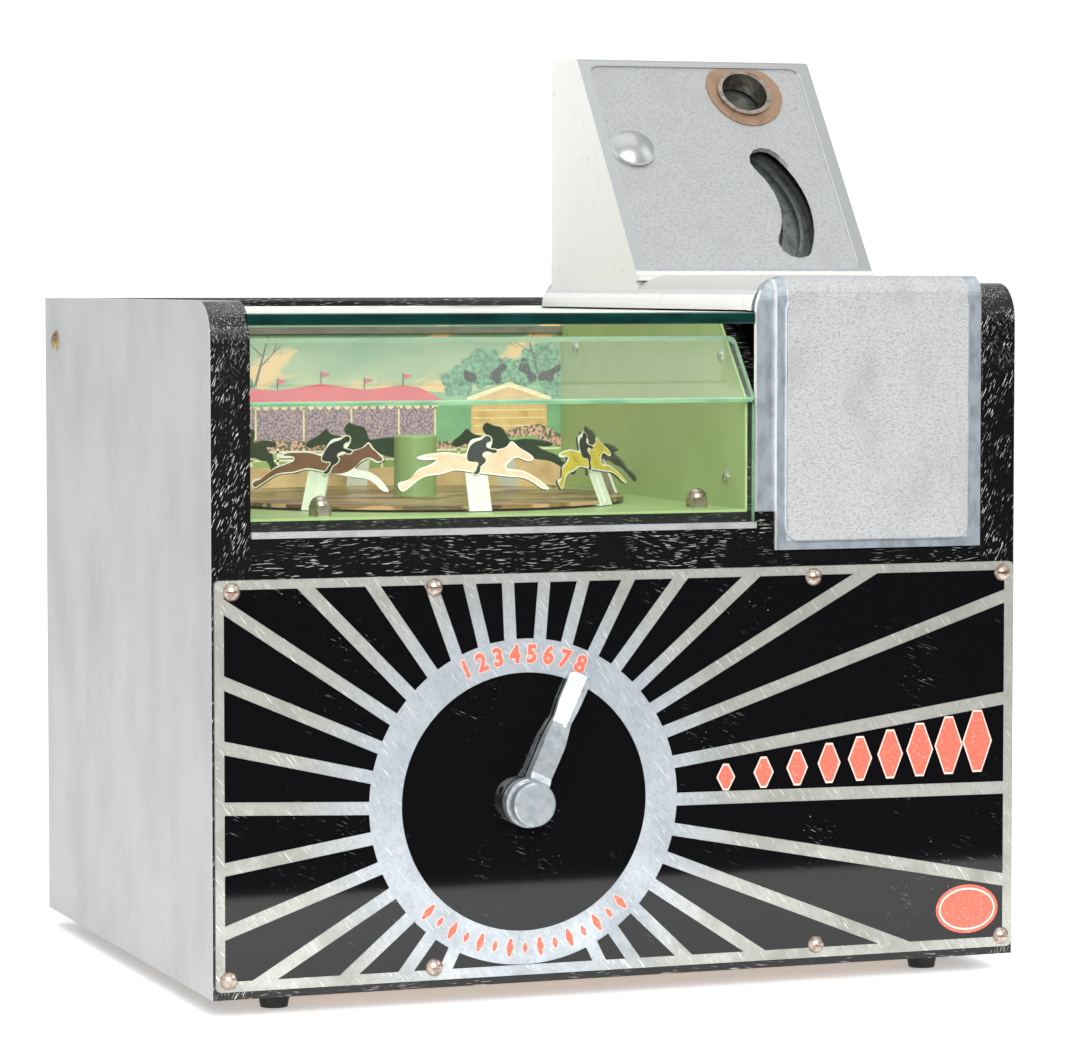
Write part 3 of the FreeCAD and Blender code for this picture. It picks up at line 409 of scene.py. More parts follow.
def makeHorseTin(name, angle):
    v = horseTin
    finish, tree, shader, place = newFinish(name, v["front"], 0.34)
    outward = (math.cos(math.radians(angle)), math.sin(math.radians(angle)), 0.0)
    facing = addNode(tree, "TexCoord", {}, "Normal")
    faces = addNode(tree, "VectorMath", {"operation": "DOT_PRODUCT", 0: facing, 1: outward}, "Value")
    showing = addNode(tree, "MapRange", {"Value": faces, "From Min": 0.4, "From Max": 0.5})
    rubbed = patches(tree, place, 2.2, 0.55, 1.2)
    front = layColours(tree, v["front"], (rubbed, v["rubbed"]))
    back = layColours(tree, v["back"], (rubbed, v["backRubbed"]))
    colour = layColours(tree, back, (showing, front))
    wireFinish(tree, shader, colour, None, patches(tree, place, 1.5, 0.3, 0.7), 0.01, 0.2)
    return finish


# flat printing ink on card and tin: even, slightly mottled where the dots of the print run together
def makePrintInk(name, colour, shade, mottleMm=2.6, roughness=0.5, low=0.44, high=0.8):
    finish, tree, shader, place = newFinish(name, colour, roughness)
    mottle = patches(tree, place, mottleMm, low, high, detail=4.0)
    dots = patches(tree, place, 0.7, 0.45, 1.2, detail=1.0)
    mixed = layColours(tree, colour, (mottle, shade), (dots, shade))
    wireFinish(tree, shader, mixed, None, dots, 0.01, 0.2)
    return finish


# the card's sky: mint green paling downward, with soft peach clouds
skyCard = {"mint": "#86A487", "pale": "#B8C196", "peach": "#EBC289", "teal": "#6E9A80", "high": 0.262, "low": 0.236}


def makeSkyCard():
    v = skyCard
    finish, tree, shader, place = newFinish("printedSkyCard", v["mint"], 0.5)
    height = addNode(tree, "SeparateXYZ", {0: place}, 2)
    down = addNode(tree, "MapRange", {"Value": height, "From Min": v["high"], "From Max": v["low"]})
    sky = layColours(tree, v["mint"], (down, v["pale"]))
    haze = patches(tree, place, 30.0, 0.5, 0.75, (1.6, 1, 1))
    sky = layColours(tree, sky, (haze, v["teal"]))
    clouds = patches(tree, place, 19.0, 0.5, 0.56, (2.4, 1, 0.8), 4.0, (0, -0.35, 0))
    sky = layColours(tree, sky, (clouds, v["peach"]))
    wireFinish(tree, shader, sky, None, patches(tree, place, 0.8, 0.4, 0.6), 0.01, 0.2)
    return finish


# moulded rubber foot: dull black with a grey bloom
def makeRubber():
    finish, tree, shader, place = newFinish("mouldedRubber", "#141414", 0.62)
    bloom = patches(tree, place, 2.5, 0.5, 1.0, detail=4.0)
    colour = layColours(tree, "#141414", (bloom, "#3A3A38"))
    wireFinish(tree, shader, colour, None, patches(tree, place, 0.6, 0.3, 0.7), 0.03)
    return finish


# drawn sheet glass: clear with a thin film of dust that whitens at a glancing view, and edges that hold its green
def makeSheetGlass(pane, name, edge, edgeDark, film, glancing):
    finish, tree, shader, place = newFinish(name, edge, 0.12)
    paneNormal = tuple(max(nodes[pane].data.polygons, key=lambda face: face.area).normal)
    facing = addNode(tree, "NewGeometry", {}, "True Normal")
    toPane = addNode(tree, "VectorMath", {"operation": "DOT_PRODUCT", 0: facing, 1: paneNormal}, "Value")
    toPane = addNode(tree, "Math", {"operation": "ABSOLUTE", 0: toPane})
    onPane = addNode(tree, "MapRange", {"Value": toPane, "From Min": 0.8, "From Max": 0.9})
    clear = addNode(tree, "BsdfTransparent", {"Color": (0.965, 0.985, 0.965, 1)})
    shine = addNode(tree, "BsdfGlossy", {"Roughness": 0.015})
    dust = addNode(tree, "BsdfDiffuse", {"Color": "#E4EBE0"})
    # only the side a ray meets first reflects, since the clear part doesn't bend the ray
    inner = addNode(tree, "NewGeometry", {}, "Backfacing")
    mirrored = addNode(tree, "Math", {"operation": "SUBTRACT", "use_clamp": True,
                                      0: addNode(tree, "Fresnel", {"IOR": 1.52}), 1: inner})
    seeThrough = addNode(tree, "MixShader", {0: mirrored, 1: clear, 2: shine})
    specks = patches(tree, place, 1.2, 0.6, 0.72)
    thick = addNode(tree, "MapRange", {"Value": specks, "To Min": film * 0.7, "To Max": film * 1.8})
    edgeOn = addNode(tree, "LayerWeight", {"Blend": 0.5}, "Facing")
    edgeOn = addNode(tree, "MapRange", {"Value": edgeOn, "From Min": 0.93, "From Max": 1.0, "To Max": glancing})
    thick = addNode(tree, "Math", {"operation": "ADD", "use_clamp": True, 0: thick, 1: edgeOn})
    veiled = addNode(tree, "MixShader", {0: thick, 1: seeThrough, 2: dust})
    both = addNode(tree, "MixShader", {0: onPane, 1: shader.outputs[0], 2: veiled})
    streaks = patches(tree, place, 6.0, 0.35, 0.65, (3, 1, 1))
    tint = layColours(tree, edge, (streaks, edgeDark))
    tree.links.new(tint, shader.inputs["Base Color"])
    tree.links.new(both, tree.nodes["Material Output"].inputs["Surface"])
    return finish


dial = {"x": 128.0, "z": 72.3, "face": -1.5, "ringOut": 64.8, "ringIn": 51.3, "rayWidth": 5.2, "enamelThick": 0.12,
        "left": 4.7, "right": 338.0, "top": 159.2, "low": 7.4}
finishes = {
    "silver_paint": makeSidePaint(),
    "black_wood": makeLimedRail(),
    "plain_wood": makeBarePine(),
    "door_wood": makeStainedPly(),
    "sunburst_plate": makePlateSheet(),
    "cast_aluminium": makeCasting(),
    "nickel_screw": makeWornMetal("wornNickelPlate", "#C4B7AC", "#80604F", 0.28, 2.2, 0.42, 0.72),
    "brass_screw": makeWornMetal("agedBrass", "#A8916B", "#6E5B44", 0.32, 1.6),
    "nickel_bush": makeWornMetal("nickelledCup", "#9C948A", "#5F574C", 0.24, 3.0),
    "copper_washer": makeWornMetal("dullCopperWasher", "#917661", "#6E5342", 0.5, 5.0, 0.5, 1.0, 0.6),
    "grey_track": makeWornMetal("darkCastTrack", "#6A6E6B", "#3C4042", 0.36, 4.0, 0.45, 0.75, 0.8),
    "black_rubber": makeRubber(),
    "green_liner": makeSprayEnamel("lightGreenEnamel", "#A3BB7B", "#B3C58D", "#8AA567"),
    "green_post": makeSprayEnamel("postGreenEnamel", "#8FAA6C", "#A2BB80", "#738F57", 0.32),
    "printed_card": makeSkyCard(),
    "grey_strip": makeBrushedMetal("greyRodSteel", "#9A978B", "#65635B", 0.35, (20, 1, 1), 0.35, 0.6),
    "bright_strip": makeBrushedMetal("brightSillStrip", "#D2D3D2", "#8F9190", 0.3, (20, 1, 1), 0.35, 0.5),
    "zinc_sheet": makeZincSheet(),
    "steel": makeBrushedMetal("turnedSteel", "#B4B5B5", "#7F8182", 0.3, (1, 1, 5)),
    "gear_brass": makeWornMetal("cutBrass", "#CFA95B", "#8C6C34", 0.26, 3.0),
    "spring_steel": makeBrushedMetal("temperedSpring", "#6C6F75", "#43464C", 0.32, (1, 1, 20)),
    "cast_handle": makeHandleMetal(),
    "turntable_print": makeTurfPrint(),
    "post_strip": makeSprayEnamel("paleStripEnamel", "#DDE2D0", "#F1F3E8", "#A9B596", 0.34, 1.2),
    "hinge_steel": makeWornMetal("zincPlatedSteel", "#A9A59A", "#77715F", 0.36, 3.0),
}
# nodes with a finish of their own: the panes, and the brighter screws in the liner
ownFinishes = {
    "top_glass": makeSheetGlass("top_glass", "topSheetGlass", "#0C332E", "#0A2420", 0.04, 0.8),
    "slanted_glass": makeSheetGlass("slanted_glass", "slantedSheetGlass", "#BFE0C0", "#9CCBAE", 0.07, 0.0),
    "front_glass": makeSheetGlass("front_glass", "frontSheetGlass", "#A9D0B0", "#86B795", 0.015, 0.0),
    "liner_screws": makeWornMetal("brightNickelDome", "#D3D6C6", "#97A07F", 0.24, 2.2, 0.5, 0.8),
}
for name, node in nodes.items():
    slotName = node.data.materials[0].name.split(".")[0]
    if name in ownFinishes:
        node.data.materials[0] = ownFinishes[name]
    elif slotName in finishes:
        node.data.materials[0] = finishes[slotName]
print("stage: finishes laid on the frame")


def clearSelection():
    bpy.ops.object.select_all(action="DESELECT")


def keepPiece(piece, name, finish, body):
    piece.name = name
    piece.data.name = name
    clearSelection()
    piece.select_set(True)
    bpy.context.view_layer.objects.active = piece
    bpy.ops.object.transform_apply(location=True, rotation=True, scale=True)
    piece.data.materials.clear()
    piece.data.materials.append(finish)
    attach(piece, body)


def joinPieces(pieces):
    clearSelection()
    for piece in pieces:
        piece.select_set(True)
    bpy.context.view_layer.objects.active = pieces[0]
    if len(pieces) > 1:
        bpy.ops.object.join()
    return bpy.context.object


# a flat shape cut from a curve: outline points in mm, laid by the given matrix, with a thickness towards its own +z
def cutShape(points, laid, thickMm, smooth=True, grow=0.0, steps=6):
    clearSelection()
    bpy.ops.curve.primitive_bezier_circle_add(radius=0.001)
    shape = bpy.context.object
    shape.data.dimensions = "2D"
    shape.data.fill_mode = "BOTH"
    shape.data.resolution_u = steps
    shape.data.splines.clear()
    line = shape.data.splines.new("BEZIER")
    line.bezier_points.add(len(points) - 1)
    for knot, (x, y) in zip(line.bezier_points, points):
        knot.co = (x / 1000, y / 1000, 0)
        knot.handle_left_type = knot.handle_right_type = "AUTO" if smooth else "VECTOR"
    line.use_cyclic_u = True
    shape.data.offset = grow / 1000
    shape.data.extrude = thickMm / 2000
    bpy.ops.object.convert(target="MESH")
    shape = bpy.context.object
    shape.data.transform(Matrix.Translation((0, 0, thickMm / 2000)))
    shape.matrix_world = laid
    bpy.ops.object.transform_apply(location=True, rotation=True, scale=True)
    return shape


# upright in front of the plate or the card, drawing x to the right and y up, its thickness towards the viewer
def facingFront(x, y, z, turn=0.0):
    upright = Matrix.Rotation(math.radians(90), 4, "X")
    return Matrix.Translation(spot(x, y, z)) @ upright @ Matrix.Rotation(turn, 4, "Z")


# each ray: direction in degrees and how far its middle line passes from the dial centre
rays = [(-171.0, 1.7), (-160.4, 2.0), (-149.1, 0.6), (-139.6, 2.1), (-127.3, -0.2), (-116.0, -1.5), (-63.5, -0.8),
        (-54.6, -0.2), (-43.5, -0.4), (-33.3, 0.0), (-21.5, -1.4), (-10.6, -1.9), (-0.5, -1.2), (8.0, 4.4),
        (18.6, 5.2), (29.1, 4.3), (40.8, 2.5), (51.7, 2.0), (62.7, 1.0), (74.2, 0.0), (85.2, -0.8), (92.5, 3.3),
        (104.0, 1.5), (110.1, 6.9), (125.1, 1.6), (134.7, 3.0), (146.3, 1.5), (156.7, 2.0), (167.1, 2.3),
        (177.8, 2.4)]


def buildEnamel():
    v = dial
    clearSelection()
    bpy.ops.mesh.primitive_circle_add(vertices=240, radius=v["ringOut"] / 1000, fill_type="NOTHING")
    bpy.ops.object.mode_set(mode="EDIT")
    bpy.ops.mesh.select_all(action="SELECT")
    bpy.ops.mesh.extrude_edges_move()
    wide = 270 / v["ringOut"]
    bpy.ops.transform.resize(value=(wide, wide, 1))
    borders = [((v["left"] - v["x"], 0), (-1, 0)), ((v["right"] - v["x"], 0), (1, 0)),
               ((0, v["low"] - v["z"]), (0, -1)), ((0, v["top"] - v["z"]), (0, 1))]
    for (x, y), (nx, ny) in borders:
        bpy.ops.mesh.select_all(action="SELECT")
        bpy.ops.mesh.bisect(plane_co=(x / 1000, y / 1000, 0), plane_no=(nx, ny, 0), clear_outer=True)
    bpy.ops.object.mode_set(mode="OBJECT")
    field = bpy.context.object
    wedges = []
    for i, (angle, off) in enumerate(rays):
        nextAngle, nextOff = rays[(i + 1) % len(rays)]
        clearSelection()
        wedge = field.copy()
        wedge.data = field.data.copy()
        bpy.context.collection.objects.link(wedge)
        wedge.select_set(True)
        bpy.context.view_layer.objects.active = wedge
        bpy.ops.object.mode_set(mode="EDIT")
        for bearing, passes, keepSide in ((angle, off, 1), (nextAngle, nextOff, -1)):
            nx, ny = -math.sin(math.radians(bearing)), math.cos(math.radians(bearing))
            away = passes + keepSide * v["rayWidth"] / 2
            bpy.ops.mesh.select_all(action="SELECT")
            bpy.ops.mesh.bisect(plane_co=(nx * away / 1000, ny * away / 1000, 0), plane_no=(nx, ny, 0),
                                clear_inner=keepSide > 0, clear_outer=keepSide < 0)
        bpy.ops.object.mode_set(mode="OBJECT")
        if len(wedge.data.polygons):
            wedges.append(wedge)
        else:
            bpy.data.objects.remove(wedge)
    bpy.data.objects.remove(field)
    clearSelection()
    bpy.ops.mesh.primitive_circle_add(vertices=180, radius=v["ringIn"] / 1000, fill_type="NGON")
    wedges.append(bpy.context.object)
    sheet = joinPieces(wedges)
    bpy.ops.object.mode_set(mode="EDIT")
    bpy.ops.mesh.select_all(action="SELECT")
    bpy.ops.mesh.extrude_region_move(TRANSFORM_OT_translate={"value": (0, 0, v["enamelThick"] / 1000)})
    bpy.ops.mesh.select_all(action="SELECT")
    bpy.ops.mesh.normals_make_consistent(inside=False)
    bpy.ops.object.mode_set(mode="OBJECT")
    sheet.matrix_world = facingFront(v["x"], v["face"], v["z"])
    keepPiece(sheet, "plateEnamel", makeStovedEnamel(), "cabinet")


buildEnamel()
coral = makeScreenInk("coralScreenInk", coralInk["coral"], coralInk["worn"], 1.3)
pinkEdge = makeScreenInk("palePinkKeyline", coralInk["edge"], coralInk["edgeWorn"], 1.6)

# numerals round the top of the ring, one to eight
numerals = {"radius": 58.4, "first": 24.9, "step": 6.92, "tall": 9.6, "thick": 0.12, "bold": 0.42}


def buildNumerals():
    v = numerals
    edges, inks = [], []
    for i in range(8):
        bearing = math.radians(v["first"] - i * v["step"])
        x, z = dial["x"] - v["radius"] * math.sin(bearing), dial["z"] + v["radius"] * math.cos(bearing)
        for fat, lift, group in ((v["bold"] + 0.25, 0.0, edges), (v["bold"], v["thick"] * 0.6, inks)):
            clearSelection()
            bpy.ops.object.text_add()
            text = bpy.context.object
            text.data.body = str(i + 1)
            text.data.size = v["tall"] / 1000
            text.data.align_x = "CENTER"
            text.data.align_y = "CENTER"
            text.data.offset = fat / 1000
            text.data.extrude = v["thick"] / 2000
            text.data.resolution_u = 4
            text.scale = (0.9, 1, 1)
            bpy.ops.object.convert(target="MESH")
            text = bpy.context.object
            bpy.ops.object.transform_apply(scale=True)
            text.matrix_world = facingFront(x, dial["face"] - 0.01 - lift - v["thick"] / 2, z, bearing)
            bpy.ops.object.transform_apply(location=True, rotation=True, scale=True)
            group.append(text)
    keepPiece(joinPieces(edges), "numeralEdges", pinkEdge, "cabinet")
    keepPiece(joinPieces(inks), "numeralInk", coral, "cabinet")


buildNumerals()

# plain lozenges: a short arc at the foot of the ring and a growing row on the right
lozenges = {"arcRadius": 58.2, "arcFrom": -44.0, "arcTo": 44.0, "arcCount": 15, "large": (1.5, 3.6),
            "small": (1.1, 2.1), "rowCount": 9, "rowFrom": 214.0, "rowLong": 112.0, "rowBend": 0.92, "rowLow": 78.6,
            "rowRise": 10.4, "tall": 4.6, "grow": 7.4, "wide": 3.4, "widen": 2.6}


def lozenge(halfWide, halfTall):
    return [(-halfWide, 0), (-halfWide * 0.3, -halfTall), (halfWide * 0.3, -halfTall), (halfWide, 0),
            (halfWide * 0.3, halfTall), (-halfWide * 0.3, halfTall)]


def buildLozenges():
    v = lozenges
    edges, inks = [], []
    face = dial["face"]
    for i in range(v["arcCount"]):
        bearing = math.radians(v["arcFrom"] + (v["arcTo"] - v["arcFrom"]) * i / (v["arcCount"] - 1))
        x, z = dial["x"] + v["arcRadius"] * math.sin(bearing), dial["z"] - v["arcRadius"] * math.cos(bearing)
        wide, tall = v["large"] if i % 2 == 0 else v["small"]
        rim = lozenge(wide + 0.35, tall + 0.4)
        edges.append(cutShape(rim, facingFront(x, face - 0.01, z, bearing), 0.06, False))
        inks.append(cutShape(lozenge(wide, tall), facingFront(x, face - 0.07, z, bearing), 0.08, False))
    for i in range(v["rowCount"]):
        t = i / (v["rowCount"] - 1)
        x = v["rowFrom"] + v["rowLong"] * t ** v["rowBend"]
        mid = v["rowLow"] + v["rowRise"] * t
        tall = v["tall"] + v["grow"] * t
        wide = v["wide"] + v["widen"] * t
        edges.append(cutShape(lozenge(wide + 0.7, tall + 0.8), facingFront(x, face - 0.13, mid), 0.05, False))
        inks.append(cutShape(lozenge(wide, tall), facingFront(x, face - 0.18, mid), 0.07, False))
    keepPiece(joinPieces(edges), "lozengeEdges", pinkEdge, "cabinet")
    keepPiece(joinPieces(inks), "lozengeInk", coral, "cabinet")


buildLozenges()

# bare oval at the lower right: coral with a pale rim
oval = {"x": 321.7, "z": 19.7, "halfWide": 14.0, "halfTall": 10.0}


def buildOval():
    v = oval
    for name, shrink, lift, finish in (("ovalBack", 0.0, 0.13, coral), ("ovalRim", 1.3, 0.2, pinkEdge),
                                       ("ovalFace", 2.1, 0.26, coral)):
        ring = [((v["halfWide"] - shrink) * math.cos(a), (v["halfTall"] - shrink) * math.sin(a))
                for a in [math.radians(k * 22.5) for k in range(16)]]
        shape = cutShape(ring, facingFront(v["x"], dial["face"] - lift, v["z"]), 0.07)
        keepPiece(shape, name, finish, "cabinet")


buildOval()
print("stage: plate enamel, numerals and marks")

# each horse: its ink, the light and shade of its coat, and its slot
coats = {1: ("creamCoat", "#E8C9A9", "#D4AD86", "horse_cream"),
         2: ("yellowCoat", "#E2C644", "#A8922E", "horse_yellow"),
         3: ("greyCoat", "#B9BAB6", "#8B8D8A", "horse_grey"),
         4: ("chestnutCoat", "#8C4A28", "#6A3318", "horse_chestnut"),
         5: ("blackCoat", "#2A2724", "#121110", "horse_black"),
         6: ("tanCoat", "#C08E5C", "#96683C", "horse_tan"),
         7: ("bayCoat", "#70391F", "#4E2412", "horse_dark"),
         8: ("brownCoat", "#80563E", "#5E3A28", "horse_brown")}
# where the horses stand on the turntable, and how far two of them have slipped along their strips
horsePlace = {"radius": 88.9, "z": 186.4, "x": 120.0, "y": 110.0, "first": -91.5, "step": 45.0, "lean": 22.0,
              "slip": {2: -6.0, 8: 4.5}}
# outlines in millimetres from the foot of the strip; one horse has white socks in front
horseOutline = [(-33.5, 10.5), (-32.0, 8.5), (-29.0, 10.0), (-25.0, 13.0), (-22.0, 14.5), (-15.0, 15.5),
                (-9.5, 17.0), (-4.5, 16.5), (6.0, 15.0), (14.0, 14.0), (18.5, 13.5), (23.5, 11.0), (27.5, 8.5),
                (29.5, 8.5), (28.5, 10.0), (21.5, 15.5), (17.0, 17.0), (12.5, 18.0), (15.0, 21.0), (18.0, 22.0),
                (22.5, 20.5), (24.5, 21.5), (22.0, 24.5), (18.5, 27.0), (16.0, 29.0), (14.5, 27.5), (9.0, 25.5),
                (4.0, 23.6), (-3.0, 23.2), (-9.0, 24.5), (-16.5, 24.5), (-20.5, 24.0), (-22.0, 22.9),
                (-18.0, 22.0), (-16.5, 21.3), (-18.5, 20.0), (-24.5, 17.5), (-30.0, 13.0)]
sockedOutline = [p for p in horseOutline if not (p[0] > 13.5 and p[1] < 17.5)]
riderOutline = [(5.0, 31.2), (6.8, 31.4), (7.7, 30.2), (7.2, 29.0), (5.8, 28.4), (5.4, 26.8), (7.4, 25.9),
                (9.6, 25.0), (8.6, 24.0), (5.4, 24.8), (3.8, 24.2), (3.2, 23.2), (4.4, 21.4), (3.6, 19.8),
                (1.9, 18.4), (1.4, 16.6), (0.2, 15.3), (-1.6, 15.6), (-0.5, 16.8), (0.1, 18.2), (0.8, 20.0),
                (-1.6, 20.4), (-3.4, 21.2), (-3.3, 23.4), (-2.6, 25.4), (-1.4, 27.4), (0.8, 29.0), (3.4, 29.9)]


def horseLaid(number, lift):
    v = horsePlace
    angle = v["first"] + v["step"] * (number - 1)
    slip = v["slip"].get(number, 0.0)
    foot = spot(v["x"] + v["radius"] * math.cos(math.radians(angle)),
                v["y"] + v["radius"] * math.sin(math.radians(angle)), v["z"])
    return (Matrix.Translation(foot) @ Matrix.Rotation(math.radians(angle + 90), 4, "Z")
            @ Matrix.Rotation(math.radians(-v["lean"]), 4, "X")
            @ Matrix.Translation((slip / 1000, -lift / 1000, 0)) @ Matrix.Rotation(math.radians(90), 4, "X"))


def buildHorsePrints():
    riderInk = makePrintInk("riderBlackInk", "#151513", "#2B2B28", 3.0)
    keyline = makePrintInk("creamKeyline", "#E9E2C8", "#CFC6A4", 2.0)
    for number, (name, light, shade, slotName) in coats.items():
        angle = horsePlace["first"] + horsePlace["step"] * (number - 1)
        node = nodes["horse_%d" % number]
        node.data.materials[0] = makeHorseTin("printedTinHorse%d" % number, angle)
        coat = makePrintInk(name, light, shade, 5.0, 0.34)
        outline = sockedOutline if number == 8 else horseOutline
        shape = cutShape(outline, horseLaid(number, 0.9), 0.06, True, -0.55, 4)
        keepPiece(shape, "horseCoat_%d" % number, coat, "carousel")
        halo = cutShape(riderOutline, horseLaid(number, 0.97), 0.05, True, 0.35, 4)
        keepPiece(halo, "riderKeyline_%d" % number, keyline, "carousel")
        shape = cutShape(riderOutline, horseLaid(number, 1.03), 0.06, True, -0.1, 4)
        keepPiece(shape, "riderInk_%d" % number, riderInk, "carousel")


buildHorsePrints()
print("stage: horse prints")

# the picture on the card: a plain country show ground, layer upon layer
card = {"face": 216.2, "left": 17.2, "right": 224.6, "low": 186.0, "layer": 0.07}
cardInks = {"farHill": makePrintInk("farHillInk", "#86B587", "#6E9F77", 7.0),
            "grass": makePrintInk("nearHillInk", "#9DB86A", "#7C9A50", 8.0),
            "tree": makePrintInk("treeInk", "#6FB08A", "#3F7459", 1.8, 0.5, 0.4, 0.6),
            "bark": makePrintInk("branchInk", "#4B5340", "#33382B"),
            "roof": makePrintInk("coralRoofInk", "#E04C5C", "#C63F50", 9.0),
            "edging": makePrintInk("roofEdgeInk", "#F6E7BC", "#E4C98C"),
            "cloth": makePrintInk("mauveWallInk", "#7C7186", "#C0A0A6", 1.0, 0.5, 0.46, 0.54),
            "cream": makePrintInk("creamFenceInk", "#F4EACB", "#E0CC9C"),
            "flowers": makePrintInk("flowerBedInk", "#EFB0A2", "#56684A", 1.3, 0.5, 0.46, 0.54),
            "ground": makePrintInk("sandGroundInk", "#E3BC8A", "#C29563", 9.0),
            "boards": makePrintInk("tanBoardInk", "#E8BE80", "#C8954F", 5.0)}


def upright(x, z, wide, tall, lean=0.0, tip=1.0):
    return [(x - wide / 2, z), (x + wide / 2, z), (x + lean + wide * tip / 2, z + tall),
            (x + lean - wide * tip / 2, z + tall)]


def crown(x, z, r, lobes, turn):
    ring = [math.radians(k * 20) for k in range(18)]
    return [(x + r * (1 + 0.13 * math.sin(lobes * a + turn)) * math.cos(a),
             z + 0.85 * r * (1 + 0.13 * math.sin(lobes * a + turn)) * math.sin(a)) for a in ring]


# each layer: name, ink, how many layers above the card, soft corners or not, and its outlines
def cardPicture():
    farHills = [(17.2, 205), (17.2, 222), (60, 227), (100, 224), (140, 230), (180, 228), (224.6, 234), (224.6, 205)]
    crowns = [crown(*lay) for lay in (
        (176, 233, 8, 5, 0), (188, 239, 10, 7, 1), (202, 235, 10, 6, 2), (215, 241, 10, 7, 3), (223, 232, 9, 5, 1),
        (77, 230, 6, 5, 2), (86, 226, 5, 6, 0))]
    twigs = [upright(*lay, 0.3) for lay in (
        (82, 232, 1.3, 22, 6), (84, 240, 0.8, 12, 12), (85, 245, 0.7, 7, -7), (86, 249, 0.5, 4, 14),
        (90, 246, 0.5, 7, 3), (214, 236, 1.4, 17, -5), (212, 243, 0.8, 9, 9), (211, 246, 0.8, 7, -13),
        (204, 248, 0.5, 5, -9), (208, 250, 0.5, 5, 5), (217, 247, 0.5, 6, 6))]
    cloth = [[(40, 204), (40, 224), (166, 224), (163, 204)]]
    roof = [[(40, 223.6), (40, 230.4), (66, 231.8), (92, 229.8), (112, 232.6), (132, 229.8), (150, 231.6),
             (158, 230.6), (171, 223.6)]]
    scallops = [[(x, 223.8), (x + 3.6, 223.8), (x + 3.1, 221.8), (x + 1.8, 221.0), (x + 0.5, 221.8)]
                for x in [40 + 4.1 * k for k in range(31)]]
    posts = [upright(x, 204, 0.8, 18) for x in (60, 82, 104, 126, 148, 165)]
    peaks = ((92, 229.6), (112, 232.4), (132, 229.6), (150, 231.4))
    masts = [upright(x, z, 0.5, 5.6) for x, z in peaks]
    pennants = [[(x + 0.3, z + 5.4), (x + 4.6, z + 4.4), (x + 0.3, z + 3.0)] for x, z in peaks]
    barn = [[(182, 202), (182, 225), (200, 231), (218, 225), (218, 202)]]
    boards = [upright(200, z, 34, 0.5) for z in (206, 209.5, 213, 216.5, 220)]
    boards += [[(180, 224), (200, 230.6), (220, 224), (220, 226), (200, 232.8), (180, 226)]]
    flowers = [[(17.2, 199), (17.2, 208), (60, 209), (112, 207), (136, 206), (180, 207), (224.6, 209), (224.6, 199)]]
    grass = [[(17.2, 192), (17.2, 201), (90, 202), (150, 200), (224.6, 203), (224.6, 192)]]
    fence = [upright(120.9, z, 207.4, 0.9) for z in (198.6, 202.4)]
    fence += [upright(20 + 12 * k, 194, 1.1, 10.4) for k in range(17)]
    ground = [[(17.2, 186.1), (17.2, 195), (70, 196.4), (130, 194.6), (224.6, 196), (224.6, 186.1)]]
    return [("farHills", "farHill", 1, True, [farHills]), ("paintedTrees", "tree", 2, True, crowns),
            ("paintedTwigs", "bark", 3, False, twigs), ("tentSide", "cloth", 3, False, cloth),
            ("tentRoof", "roof", 4, False, roof), ("tentScallops", "edging", 5, False, scallops + posts),
            ("tentMasts", "bark", 5, False, masts), ("tentPennants", "roof", 5, False, pennants),
            ("barnWall", "boards", 4, False, barn), ("barnBoards", "edging", 5, False, boards),
            ("flowerBed", "flowers", 6, True, flowers), ("nearGrass", "grass", 7, True, grass),
            ("showFence", "cream", 8, False, fence), ("sandGround", "ground", 9, True, ground)]


def buildBackdrop():
    c = card
    for name, ink, depth, soft, outlines in cardPicture():
        shapes = []
        for outline in outlines:
            flat = [(max(c["left"], min(c["right"], x)) - c["left"], z - c["low"]) for x, z in outline]
            shapes.append(cutShape(flat, facingFront(c["left"], c["face"] - depth * c["layer"], c["low"]), 0.06, soft,
                                   0.0, 4))
        keepPiece(joinPieces(shapes), name, cardInks[ink], "cabinet")


buildBackdrop()
print("stage: painted card")

# a pale paper sweep, glowing a little so that it stays white: its measures in metres
studio = {"floorFront": -0.44, "floorBack": 6.0, "halfWidth": 5.0, "floorDrop": 0.0004, "bend": 0.4, "wallHigh": 2.4}


def makePaper():
    finish, tree, shader, place = newFinish("whitePaperSweep", "#F4F4F4", 0.7)
    shade = patches(tree, place, 300.0, 0.4, 0.6)
    wireFinish(tree, shader, layColours(tree, "#F6F6F6", (shade, "#F2F2F2")))
    shader.inputs["Emission Color"].default_value = (1, 1, 1, 1)
    shader.inputs["Emission Strength"].default_value = 0.35
    return finish


def buildStage():
    v = studio
    clearSelection()
    bpy.ops.mesh.primitive_plane_add(size=1, location=(0, (v["floorFront"] + v["floorBack"]) / 2, -v["floorDrop"]))
    sweep = bpy.context.object
    sweep.scale = (2 * v["halfWidth"], v["floorBack"] - v["floorFront"], 1)
    bpy.ops.object.transform_apply(location=True, rotation=True, scale=True)
    bpy.ops.object.mode_set(mode="EDIT")
    bpy.ops.mesh.select_all(action="DESELECT")
    bpy.ops.object.mode_set(mode="OBJECT")
    for edge in sweep.data.edges:
        ends = [sweep.data.vertices[k].co for k in edge.vertices]
        edge.select = all(e.y > v["floorBack"] - 0.01 for e in ends)
    bpy.ops.object.mode_set(mode="EDIT")
    bpy.ops.mesh.select_mode(type="EDGE")
    bpy.ops.mesh.extrude_edges_move(TRANSFORM_OT_translate={"value": (0, v["bend"], v["bend"])})
    bpy.ops.mesh.extrude_edges_move(TRANSFORM_OT_translate={"value": (0, 0, v["wallHigh"])})
    bpy.ops.object.mode_set(mode="OBJECT")
    sweep.name = "paperSweep"
    sweep.data.materials.append(makePaper())


buildStage()

